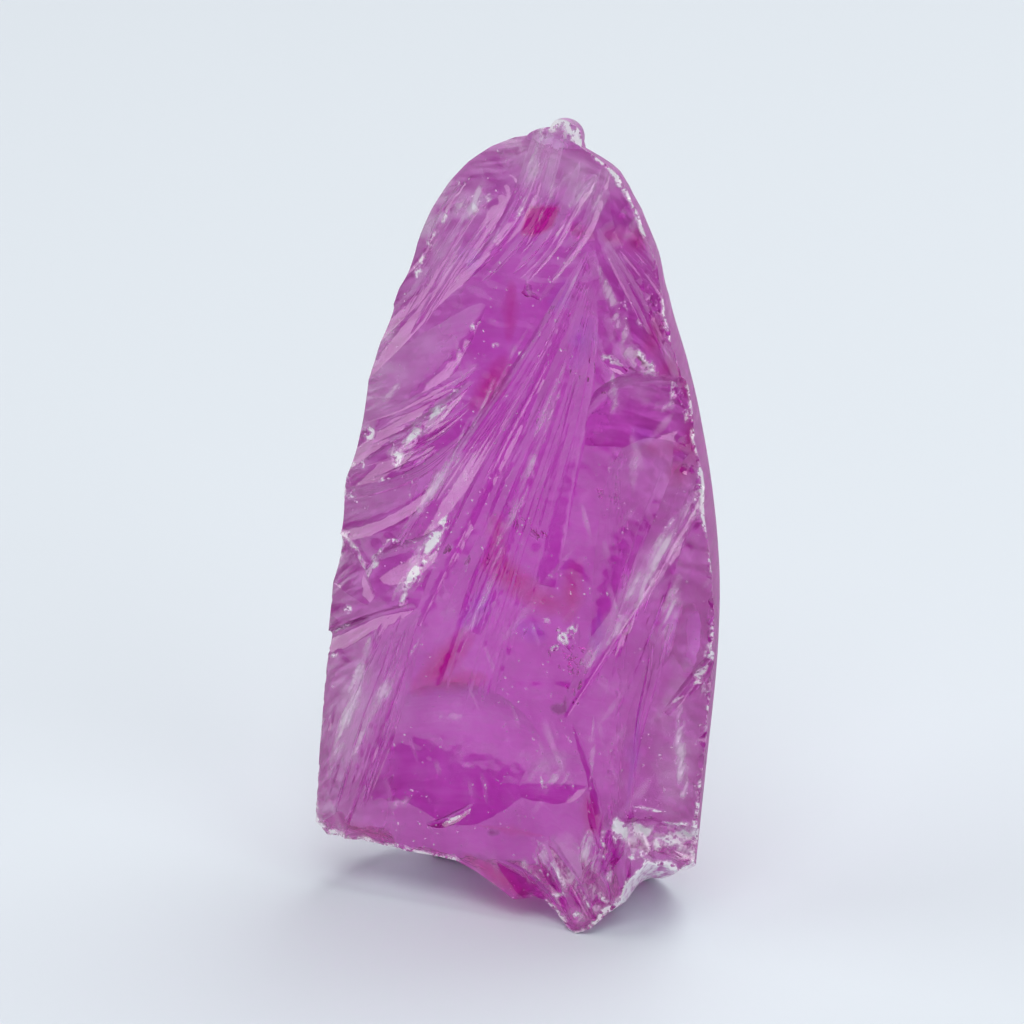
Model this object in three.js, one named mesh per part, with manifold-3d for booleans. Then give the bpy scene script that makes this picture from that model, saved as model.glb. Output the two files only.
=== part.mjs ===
// Rough zircon: one glassy lengthwise half of a rounded crystal column.
//
// The back is the column's own grown skin, a half-round that closes in a dome
// with a small nub. The front is a fresh split: one broad face crossed by flake
// scars that fan out from the dome, with ledges on its left flank, a bowl and
// long flat scars on its right and a crushed corner below. The foot is a ragged
// break. It meets the ground at a point in front and along a curved heel behind,
// so the stone stands with its face leaning back.
//
// Millimetres. Everything is first shaped upright: X to the right across the
// face, Y into the stone from the face, Z up the column. The finished solid is
// then leaned back and set on the ground, with +Z up and its origin at the
// middle of its footprint box.
import * as THREE from 'three';
import { mergeVertices } from 'three/addons/utils/BufferGeometryUtils.js';
import Module from 'manifold-3d';

const wasm = await Module();
wasm.setup();

// Driving dimensions.
const LEAN = 9.5; // degrees that the face leans back
const FACE_TURN = 4; // degrees that the split is turned about the column, right side nearer
const DEPTH_SHARE = 0.93; // depth of the column behind its axis, as a share of its half width
const COLUMN_FOOT = -6; // well below the break, so that the break cuts right through
const COLUMN_TOP = 48.95;
const FOOT_WEAR = 0.15; // how much the ground contact is blunted
const RING_POINTS = 36;

// The column's outline on each side of the split: height, then X.
const LEFT_EDGE = [
  [COLUMN_FOOT, -12.8], [4, -12.8], [10, -12.75], [17, -12.65], [22.5, -12.45],
  [26.6, -12.1], [30, -11.55], [34.3, -10.75], [38, -9.75], [41.2, -8.7], [43.3, -7.85],
  [45.2, -6.7], [46.6, -5.45], [47.7, -4], [48.4, -2.6], [48.8, -1.3],
];
const RIGHT_EDGE = [
  [COLUMN_FOOT, 11.6], [5, 11.9], [11, 12.15], [17, 12.4], [21.3, 12.35], [24.3, 12.1],
  [28.1, 11.5], [31.5, 10.75], [35.2, 9.7], [39.8, 8.15], [42.3, 7.4], [44.8, 6.25],
  [46.2, 5.4], [47.1, 4.75], [47.8, 3.6], [48.4, 2.4], [48.8, 1.2],
];
const RING_HEIGHTS = [
  COLUMN_FOOT, 3, 8, 13, 17.5, 21, 24, 27, 30, 33, 36, 38.5, 40.7, 42.6, 44.2, 45.5, 46.5,
  47.3, 47.9, 48.4, 48.75,
];

// Flat breaks of the front: planes through three points (X, depth, height).
const FACE_BREAKS = [
  // the right flank, beyond a ridge that runs down from the edge
  [[10.9, -0.76, 23.6], [8, -0.56, 8], [12.3, 0.45, 12]],
  // the left flank below its ledges
  [[-6, 0.42, 17], [-10.6, 0.74, 4.8], [-12.6, 1.5, 13]],
];

// Flake scars of the front. Each follows a line of [X, height, half width, depth] and
// has its deepest point off the middle, towards +1 (left of the way it runs) or -1.
const SCARS = [
  // the dome: a broad scar on the left, and the flutes that run down beside it
  { deepest: 0.6, line: [[-1.5, 50.6, 1.2, 0.1], [-4.7, 45.9, 3.2, 0.45], [-7.6, 42, 3.8, 0.55],
    [-10.4, 37.5, 3.2, 0.45], [-12.8, 33, 2.2, 0.2]] },
  { deepest: 0.4, line: [[-5.6, 44.8, 0.3, 0], [-7, 42.6, 0.9, 0.65], [-8.6, 40.2, 1, 0.75],
    [-11, 37.6, 1, 0.75]] },
  { deepest: -0.4, line: [[-5, 41.6, 0.3, 0], [-7.2, 38.8, 0.9, 0.65], [-9.4, 36.4, 1, 0.65],
    [-12.4, 33.6, 1, 0.6]] },
  { deepest: -0.5, line: [[0.4, 50.4, 0.6, 0.25], [-0.5, 47, 0.75, 0.45], [-1.5, 44.3, 0.7, 0.45],
    [-3.4, 41.2, 0.5, 0.4], [-7, 37.6, 0.35, 0]] },
  { deepest: 0.4, line: [[0.9, 48.6, 0.3, 0], [0.3, 45.6, 0.4, 0.22], [-1, 41.8, 0.3, 0]] },
  { deepest: -0.4, line: [[3.7, 47, 0.3, 0], [2.2, 44.6, 0.5, 0.28], [0.4, 42, 0.35, 0]] },
  { deepest: 0.5, line: [[4.4, 48, 0.5, 0.1], [5.5, 45, 0.9, 0.4], [6.6, 42.4, 1, 0.5],
    [8.6, 39.4, 0.9, 0.5]] },
  // the fan of long flutes down the middle
  { deepest: -0.6, line: [[3.4, 42.2, 0.2, 0], [1.4, 37.4, 0.9, 0.3], [-1.2, 32.6, 1.1, 0.42],
    [-4.3, 27.6, 1.2, 0.42], [-7.6, 22.4, 0.9, 0.05]] },
  { deepest: 0.5, line: [[3.2, 40.6, 0.15, 0], [1.2, 36, 0.5, 0.25], [-1.4, 30.4, 0.6, 0.32],
    [-4, 24.4, 0.7, 0.32], [-6.5, 18, 0.4, 0]] },
  { deepest: -0.5, line: [[3.8, 40.8, 0.2, 0], [2.1, 35, 0.7, 0.3], [0.3, 29.6, 0.8, 0.42],
    [-1.3, 23, 0.8, 0.32], [-2.5, 18, 0.4, 0]] },
  { deepest: 0.4, line: [[4, 39.2, 0.3, 0], [3.4, 34, 0.9, 0.3], [2.4, 28, 1.1, 0.36],
    [1.8, 21.6, 0.8, 0]] },
  { deepest: 0.5, line: [[-1.7, 26, 0.2, 0], [-3.2, 21.6, 0.55, 0.3], [-4.4, 17.4, 0.6, 0.25],
    [-5.4, 13.2, 0.4, 0]] },
  // the left edge: two hollows and the feathered streak between them
  { deepest: 0.3, line: [[-3.2, 38.4, 0.4, 0], [-6.4, 34.6, 1.8, 0.45], [-9.4, 31.4, 2.2, 0.6],
    [-13.2, 27.6, 1.9, 0.6]] },
  { deepest: -0.6, line: [[-3.8, 33.4, 0.2, 0], [-5.9, 31, 0.6, 0.4], [-7.9, 29, 0.9, 0.6],
    [-9.8, 27.4, 0.9, 0.4], [-11.8, 26.2, 0.8, 0.1]] },
  { deepest: 0.4, line: [[-3.8, 29.6, 0.3, 0], [-7, 26.6, 1.4, 0.4], [-10, 24.6, 1.6, 0.5],
    [-13.4, 23.4, 1.5, 0.35]] },
  // the stepped ledges below them
  { deepest: -0.65, line: [[-9.7, 18.9, 0.5, 0], [-11, 20, 1.1, 0.5], [-12.6, 21.3, 1.4, 0.65],
    [-14.2, 22.6, 1.5, 0.6]] },
  { deepest: 0.5, line: [[-10.2, 20.3, 0.25, 0], [-9, 21, 1.1, 0.45], [-7.4, 21.8, 1.3, 0.5],
    [-5.9, 22.9, 0.9, 0.3], [-4.9, 24.4, 0.3, 0]] },
  { deepest: 0.5, line: [[-13.8, 15, 0.6, 0.5], [-11.4, 16.4, 0.75, 0.5], [-9.2, 17.7, 0.6, 0.45],
    [-6.6, 19, 0.35, 0]] },
  { deepest: 0.55, line: [[-6.6, 19, 0.3, 0], [-8.4, 14.6, 1.3, 0.45], [-10, 10, 1.4, 0.5],
    [-11.4, 4.6, 1.1, 0.4], [-12.2, 1, 1, 0.3]] },
  // the right edge: a fan that drops into a bowl, and two long flat scars under it
  { deepest: 0.3, line: [[3.8, 43.6, 0.3, 0], [5.4, 40.4, 1.2, 0.35], [7.2, 37.4, 1.5, 0.55],
    [8.9, 34.6, 1.1, 0.3]] },
  { deepest: 0.62, line: [[3.6, 30.6, 0.4, 0], [5.4, 32.3, 2, 0.7], [7.6, 33.2, 2.3, 1],
    [9.9, 33.5, 2, 1], [12.4, 33.4, 1.6, 0.9]] },
  { deepest: -0.3, line: [[8.8, 33, 0.9, 0], [7.4, 28.6, 2, 0.5], [6.5, 24, 1.7, 0.5],
    [5.5, 17.8, 0.8, 0]] },
  { deepest: 0.5, line: [[12.6, 32.6, 0.9, 0.3], [10.2, 28, 1.4, 0.55], [7.6, 22.6, 1.2, 0.5],
    [5.2, 17.6, 0.8, 0.4], [3.4, 13.6, 0.3, 0]] },
  { deepest: -0.4, line: [[13.6, 19.4, 0.6, 0.9], [11.6, 17, 0.5, 0.5], [9.9, 14.7, 0.25, 0]] },
  { deepest: 0.5, line: [[9.9, 20.4, 0.3, 0], [8.6, 16, 0.6, 0.35], [7.8, 12, 0.6, 0.4],
    [7.7, 8, 0.5, 0.3]] },
  // the lower face: a broad round lobe, a smaller one with a lip, and splinters between
  { deepest: 0.5, line: [[-9.4, 7.4, 1.2, 0], [-6.4, 9.2, 3.9, 0.5], [-3, 10.2, 4.7, 0.65],
    [0.4, 10.4, 3.5, 0.35], [2.4, 10.2, 1.2, 0]] },
  { deepest: -0.2, line: [[0, 8.6, 0.6, 0], [1.8, 9.4, 1.6, 0.3], [3.8, 9.9, 1.8, 0.35],
    [5.4, 10.4, 0.8, 0]] },
  { deepest: 0.5, line: [[3.9, 13.6, 0.15, 0], [4.9, 11.2, 0.3, 0.2], [5.8, 8.6, 0.35, 0.25],
    [6.5, 5.6, 0.3, 0.2]] },
  { deepest: -0.4, line: [[-1.4, 8, 0.12, 0], [-2.7, 6.6, 0.4, 0.3], [-4.1, 5.7, 0.35, 0.25],
    [-5.2, 5.4, 0.15, 0]] },
  // the crushed corner on the right and the splintered point
  { deepest: 0.6, line: [[5.8, 6.4, 0.3, 0], [8.4, 6.9, 1, 0.7], [11, 6.6, 1.1, 0.9],
    [13.6, 6, 1.1, 1]] },
  { deepest: -0.3, line: [[7, 9, 0.25, 0], [7.5, 6.6, 0.6, 0.5], [7.6, 3.6, 0.7, 0.6],
    [7.6, 1, 0.6, 0.6]] },
  { deepest: 0.4, line: [[1.9, 6, 0.15, 0], [3.1, 3.7, 0.42, 0.3], [4.5, 0.8, 0.35, 0.25]] },
  { deepest: -0.4, line: [[2.7, 6.4, 0.15, 0], [4.2, 4, 0.5, 0.32], [6, 1.2, 0.45, 0.3]] },
  { deepest: 0.5, line: [[4.6, 7, 0.4, 0], [6, 4, 0.8, 0.45], [7, 0.8, 0.7, 0.5]] },
  { deepest: 0.5, line: [[-0.6, 3.9, 0.3, 0], [1.6, 2.6, 0.9, 0.45], [4.2, 0.4, 0.7, 0.3]] },
];
const SCAR_STEPS = 3; // cross sections from one point of a line to the next
const SCAR_SIDES = 6; // flats across a scar
const SCAR_LIP = 0.06; // a scar's rim stands this far in front of the face it cuts

// The ragged foot: its front edge (X, height), seen on the face.
const FOOT_FRONT = [
  [-16, 4.6], [-12.5, 4.25], [-11.9, 3.6], [-8.8, 3.5], [-5.6, 3.25], [-3.1, 3.1], [-1.9, 2.7],
  [0, 1.75], [0.8, 1.3], [2.1, 1.6], [2.8, 1.5], [3.8, 0.7], [4.3, 0.2], [4.95, -0.05],
  [5.9, 0.4], [6.7, 1.25], [7.6, 2.1], [7.75, 3.2], [9.1, 5.05], [11.1, 4.55], [11.9, 5.4],
  [16, 8],
];
const HEEL_DEPTH = 7.6; // how far behind the face the break reaches the heel's level
const HEEL_HALF_WIDTH = 6.6; // beyond it the skin is broken away upwards
const FOOT_ARCH = { x: -1.6, y: 4.3, wide: 8, deep: 3.4, high: 1.5 };

// The lumps that make up the nub on top of the dome.
const NUB = [
  { centre: [0.5, 1.1, 48.1], half: [1.9, 1.9, 1.15], turn: 20 },
  { centre: [1.2, 0.9, 48.75], half: [1.05, 1.35, 1.15], turn: -25 },
  { centre: [1.75, 0.35, 48.6], half: [0.65, 0.8, 1.05], turn: 40 },
];

// Chips along the two sharp edges between two heights, and along the foot.
const EDGE_CHIPS = [
  { side: 'right', low: 26, high: 47, count: 16, size: 0.55 },
  { side: 'right', low: 7, high: 24, count: 6, size: 0.5 },
  { side: 'left', low: 5, high: 46, count: 18, size: 0.45 },
];
const FOOT_CHIPS = { from: -12.2, to: 3.6, count: 11, size: 0.5 };

// Shallow bites in the skin behind: centre and half sizes.
const SKIN_BITES = [
  { centre: [-7.9, 9.9, 27], half: [1.6, 1.4, 4.2] },
  { centre: [9.2, 8.8, 18.6], half: [1.7, 1.5, 2.6] },
  { centre: [1.5, 12.3, 36.5], half: [2.8, 1.8, 1.9] },
  { centre: [-3.6, 13, 12.4], half: [2.4, 1.8, 3.2] },
];

const TURN_SLOPE = Math.tan(THREE.MathUtils.degToRad(FACE_TURN));
const GROUND_SLOPE = Math.tan(THREE.MathUtils.degToRad(LEAN));
const SLAB = 60;

// A repeatable number from 0 to 1 for each whole number.
function scatter(n) {
  const wave = Math.sin(n * 12.9898) * 43758.5453;
  return wave - Math.floor(wave);
}

function toSolid(positions, faces) {
  return new wasm.Manifold(new wasm.Mesh({
    numProp: 3,
    vertProperties: Float32Array.from(positions),
    triVerts: Uint32Array.from(faces),
  }));
}

function geometryToSolid(geometry) {
  geometry.deleteAttribute('normal');
  geometry.deleteAttribute('uv');
  const merged = mergeVertices(geometry, 1e-5);
  return toSolid(merged.attributes.position.array, merged.index.array);
}

// A closed skin over a stack of rings with the same number of points, capped at both ends.
function ringSolid(rings) {
  const count = rings[0].length;
  const faces = [];
  for (let ring = 0; ring + 1 < rings.length; ring++) {
    for (let i = 0; i < count; i++) {
      const [a, b] = [ring * count + i, ring * count + ((i + 1) % count)];
      faces.push(a, b, b + count, a, b + count, a + count);
    }
  }
  const top = (rings.length - 1) * count;
  for (let i = 1; i + 1 < count; i++) {
    faces.push(0, i + 1, i);
    faces.push(top, top + i, top + i + 1);
  }
  return toSolid(rings.flat(2), faces);
}

function pick(row, i) {
  return row[THREE.MathUtils.clamp(i, 0, row.length - 1)];
}

// A point on the smooth line through the rows, at a whole or part row number.
function alongRows(rows, at) {
  const i = Math.min(Math.floor(at), rows.length - 2);
  const t = at - i;
  const [before, a, b, after] = [pick(rows, i - 1), rows[i], rows[i + 1], pick(rows, i + 2)];
  return a.map((_, k) => {
    const [leave, arrive] = [(b[k] - before[k]) / 2, (after[k] - a[k]) / 2];
    const curve = (2 * t ** 3 - 3 * t ** 2 + 1) * a[k] + (t ** 3 - 2 * t ** 2 + t) * leave;
    return curve + (3 * t ** 2 - 2 * t ** 3) * b[k] + (t ** 3 - t ** 2) * arrive;
  });
}

// The X of a table of [height, X] at a height, smooth between its rows.
function edgeAt(table, z) {
  const after = Math.max(1, table.findIndex(([height]) => height >= z));
  const [low, high] = [table[after - 1][0], table[after][0]];
  return alongRows(table, after - 1 + (z - low) / (high - low))[1];
}

// The whole column before it is split.
function column() {
  const rings = RING_HEIGHTS.map((z) => {
    const [left, right] = [edgeAt(LEFT_EDGE, z), edgeAt(RIGHT_EDGE, z)];
    const half = (right - left) / 2;
    return Array.from({ length: RING_POINTS }, (_, i) => {
      const turn = (i / RING_POINTS) * 2 * Math.PI;
      const [x, y] = [half * Math.cos(turn), half * DEPTH_SHARE * Math.sin(turn)];
      return [(left + right) / 2 + x, y, z];
    });
  });
  const crown = rings.at(-1);
  const middle = crown.reduce((sum, [x]) => sum + x / RING_POINTS, 0);
  rings.push(crown.map(([x, y]) => [middle + (x - middle) * 0.01, y * 0.01, COLUMN_TOP]));
  return ringSolid(rings);
}

// A plane through three points as depth = at + x * across + z * up.
function planeDepth([a, b, c]) {
  const [abx, aby, abz] = [b[0] - a[0], b[1] - a[1], b[2] - a[2]];
  const [acx, acy, acz] = [c[0] - a[0], c[1] - a[1], c[2] - a[2]];
  const area = abx * acz - acx * abz;
  const across = (aby * acz - acy * abz) / area;
  const up = (abx * acy - acx * aby) / area;
  return (x, z) => a[1] + (x - a[0]) * across + (z - a[2]) * up;
}

const FACE_PLANES = [(x) => -x * TURN_SLOPE, ...FACE_BREAKS.map(planeDepth)];

function faceDepth(x, z) {
  return Math.max(...FACE_PLANES.map((plane) => plane(x, z)));
}

// Everything in front of one plane of the face.
function faceSlab(plane) {
  const corners = [[-SLAB, -SLAB], [SLAB, -SLAB], [SLAB, SLAB], [-SLAB, SLAB]];
  const front = corners.map(([x, z]) => [x, plane(x, z) - SLAB * 4, z]);
  const back = corners.map(([x, z]) => [x, plane(x, z), z]);
  return ringSolid([back, front]);
}

function scarProfile(u, deepest) {
  const reach = u < deepest ? 1 + deepest : 1 - deepest;
  return 1 - ((u - deepest) / reach) ** 2;
}

function flakeScar({ line, deepest }) {
  const last = line.length - 1;
  const rings = Array.from({ length: last * SCAR_STEPS + 1 }, (_, step) => {
    const at = step / SCAR_STEPS;
    const [x, z, wide, deep] = alongRows(line, at);
    const before = alongRows(line, Math.max(at - 0.05, 0));
    const after = alongRows(line, Math.min(at + 0.05, last));
    const length = Math.hypot(after[0] - before[0], after[1] - before[1]);
    const [sideX, sideZ] = [(before[1] - after[1]) / length, (after[0] - before[0]) / length];
    const ring = Array.from({ length: SCAR_SIDES + 1 }, (_, i) => {
      const u = (2 * i) / SCAR_SIDES - 1;
      const [px, pz] = [x + sideX * wide * u, z + sideZ * wide * u];
      const hollow = (deep + SCAR_LIP) * scarProfile(u, deepest) - SCAR_LIP;
      return [px, faceDepth(px, pz) + hollow, pz];
    });
    for (const u of [1.1, -1.1]) ring.push([x + sideX * wide * u, -4, z + sideZ * wide * u]);
    return ring;
  });
  return ringSolid(rings);
}

function lineAt(table, x) {
  const after = table.findIndex(([at]) => at >= x);
  const [[x0, z0], [x1, z1]] = [table[Math.max(after - 1, 0)], table[Math.max(after, 1)]];
  return THREE.MathUtils.mapLinear(x, x0, x1, z0, z1);
}

// Height of the broken underside: the front edge's own profile, falling to the heel,
// which ends just under the ground, with an arch between.
function footHeight(x, y) {
  const toHeel = THREE.MathUtils.smoothstep(y, 0, HEEL_DEPTH);
  const pastHeel = Math.max(0, Math.abs(x) - HEEL_HALF_WIDTH);
  const heel = y * GROUND_SLOPE - 0.35 + 0.75 * pastHeel + 0.25 * Math.sin(1.9 * x);
  const { x: ax, y: ay, wide, deep, high } = FOOT_ARCH;
  const arch = high * Math.exp(-(((x - ax) / wide) ** 2) - ((y - ay) / deep) ** 2);
  const facets = 0.22 * Math.sin(1.3 * x + 0.9 * y) * Math.min(1, Math.max(0, y) / 2);
  return THREE.MathUtils.lerp(lineAt(FOOT_FRONT, x), heel, toHeel) + arch + facets;
}

// Everything under the broken underside.
function underfoot() {
  const xs = [];
  for (let i = 0; i + 1 < FOOT_FRONT.length; i++) {
    const [a, b] = [FOOT_FRONT[i][0], FOOT_FRONT[i + 1][0]];
    const steps = Math.ceil((b - a) / 1.6);
    for (let k = 0; k < steps; k++) xs.push(THREE.MathUtils.lerp(a, b, k / steps));
  }
  xs.push(FOOT_FRONT.at(-1)[0]);
  const ys = [-5, 0, 1.1, 2.2, 3.3, 4.4, 5.5, 6.6, 7.7, 9, 10.5, 12, 14];
  const rings = xs.map((x) => {
    const surface = ys.map((y) => [x, y, footHeight(x, y)]);
    return [...surface, [x, ys.at(-1), -SLAB], [x, ys[0], -SLAB]].reverse();
  });
  return ringSolid(rings);
}

// A lump or bite turned by so many degrees about the upright through its centre.
function ellipsoid({ centre, half, turn = 0 }, detail) {
  const geometry = new THREE.IcosahedronGeometry(1, detail);
  geometry.scale(...half);
  geometry.rotateZ(THREE.MathUtils.degToRad(turn));
  geometry.translate(...centre);
  return geometryToSolid(geometry);
}

function chip(x, z, reach, seed) {
  const geometry = new THREE.IcosahedronGeometry(1, 0);
  geometry.scale(reach, reach * 0.9, reach * (1 + 0.8 * scatter(seed)));
  geometry.rotateY(3 * scatter(seed + 5));
  geometry.translate(x, faceDepth(x, z) - 0.4 * reach, z);
  return geometryToSolid(geometry);
}

function edgeChips({ side, low, high, count, size }, row) {
  const [table, outward] = side === 'right' ? [RIGHT_EDGE, 1] : [LEFT_EDGE, -1];
  return Array.from({ length: count }, (_, i) => {
    const seed = row * 100 + i;
    const z = low + ((high - low) * (i + 0.7 * scatter(seed))) / count;
    const reach = size * (0.6 + 0.8 * scatter(seed + 31));
    return chip(edgeAt(table, z) + outward * 0.3 * reach, z, reach, seed + 57);
  });
}

function footChips({ from, to, count, size }) {
  return Array.from({ length: count }, (_, i) => {
    const x = THREE.MathUtils.lerp(from, to, (i + 0.6 * scatter(i + 500)) / count);
    const reach = size * (0.6 + 0.8 * scatter(i + 531));
    return chip(x, lineAt(FOOT_FRONT, x) - 0.2 * reach, reach, i + 557);
  });
}

function cutAll(solid, cutters) {
  return cutters.reduce((left, cutter) => left.subtract(cutter), solid);
}

function shapedStone() {
  const whole = NUB.reduce((solid, lump) => solid.add(ellipsoid(lump, 1)), column());
  const split = cutAll(whole, [...FACE_PLANES.map(faceSlab), underfoot()]);
  const scarred = cutAll(split, SCARS.map(flakeScar));
  const chipped = cutAll(scarred, [...EDGE_CHIPS.flatMap(edgeChips), ...footChips(FOOT_CHIPS)]);
  return cutAll(chipped, SKIN_BITES.map((bite) => ellipsoid(bite, 3)));
}

// Leans the stone back, blunts what touches the ground and centres it over its footprint box.
function standing(solid) {
  const leaned = solid.rotate([-LEAN, 0, 0]);
  const ground = new THREE.BoxGeometry(SLAB * 2, SLAB * 2, SLAB);
  ground.translate(0, 0, FOOT_WEAR - SLAB / 2);
  const flat = leaned.subtract(geometryToSolid(ground));
  const { min, max } = flat.boundingBox();
  return flat.translate([-(min[0] + max[0]) / 2, -(min[1] + max[1]) / 2, -min[2]]);
}

function toGeometry(solid) {
  const { vertProperties, triVerts, numProp } = solid.getMesh();
  const geometry = new THREE.BufferGeometry();
  const positions = Float32Array.from(vertProperties);
  geometry.setAttribute('position', new THREE.BufferAttribute(positions, numProp));
  geometry.setIndex(new THREE.BufferAttribute(Uint32Array.from(triVerts), 1));
  geometry.computeVertexNormals();
  return geometry;
}

const zirconMaterial = new THREE.MeshStandardMaterial({
  color: new THREE.Color().setRGB(0.68, 0.34, 0.65, THREE.SRGBColorSpace),
  roughness: 0.15,
  metalness: 0,
  transparent: true,
  opacity: 0.85,
});

const zircon = new THREE.Mesh(toGeometry(standing(shapedStone())), zirconMaterial);
zircon.name = 'zircon';

const stone = new THREE.Group();
stone.add(zircon);

export default stone;
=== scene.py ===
import math

import bmesh
import bpy
import numpy as np
from mathutils import Euler, Matrix, Vector


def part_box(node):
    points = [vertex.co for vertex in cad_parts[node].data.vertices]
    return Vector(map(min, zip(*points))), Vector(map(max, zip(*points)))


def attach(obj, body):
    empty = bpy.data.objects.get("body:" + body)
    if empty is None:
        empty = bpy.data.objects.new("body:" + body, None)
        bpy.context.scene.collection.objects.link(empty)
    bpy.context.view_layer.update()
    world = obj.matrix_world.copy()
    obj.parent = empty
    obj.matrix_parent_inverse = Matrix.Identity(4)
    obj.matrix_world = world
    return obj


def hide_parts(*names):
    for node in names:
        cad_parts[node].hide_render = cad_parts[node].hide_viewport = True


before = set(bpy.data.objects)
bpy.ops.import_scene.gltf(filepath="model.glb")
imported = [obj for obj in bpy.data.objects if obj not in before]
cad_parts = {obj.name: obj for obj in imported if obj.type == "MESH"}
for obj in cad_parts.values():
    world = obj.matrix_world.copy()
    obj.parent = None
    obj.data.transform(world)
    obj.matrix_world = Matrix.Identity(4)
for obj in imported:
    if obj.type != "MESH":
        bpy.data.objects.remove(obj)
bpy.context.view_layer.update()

# ---------------------------------------------------------------- form, as in the solid
LEAN = 9.5  # how far the face leans back
FACE_TURN = 4  # how far the split is turned about the column, right side nearer
DEPTH_SHARE = 0.93  # depth of the column behind its axis, as a share of its half width
COLUMN_FOOT = -6  # well below the break
COLUMN_SHOULDER = 48.75  # where the last small crown starts
COLUMN_TOP = 48.95
FOOT_WEAR = 0.15  # how much the ground contact is blunted

# sides of the column seen from the front: height, X
LEFT_EDGE = [
    [COLUMN_FOOT, -12.8], [4, -12.8], [10, -12.75], [17, -12.65], [22.5, -12.45],
    [26.6, -12.1], [30, -11.55], [34.3, -10.75], [38, -9.75], [41.2, -8.7], [43.3, -7.85],
    [45.2, -6.7], [46.6, -5.45], [47.7, -4], [48.4, -2.6], [48.8, -1.3],
]
RIGHT_EDGE = [
    [COLUMN_FOOT, 11.6], [5, 11.9], [11, 12.15], [17, 12.4], [21.3, 12.35], [24.3, 12.1],
    [28.1, 11.5], [31.5, 10.75], [35.2, 9.7], [39.8, 8.15], [42.3, 7.4], [44.8, 6.25],
    [46.2, 5.4], [47.1, 4.75], [47.8, 3.6], [48.4, 2.4], [48.8, 1.2],
]
# flat parts of the break beside the main plane, each by three of its points
FACE_BREAKS = [
    [[10.9, -0.76, 23.6], [8, -0.56, 8], [12.3, 0.45, 12]],
    [[-6, 0.42, 17], [-10.6, 0.74, 4.8], [-12.6, 1.5, 13]],
]
SCAR_LIP = 0.06  # a scar's rim stands this far in front of the face it cuts
FLAKE_LIP = 0.04
STROKE_LIP = 0.03
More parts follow.
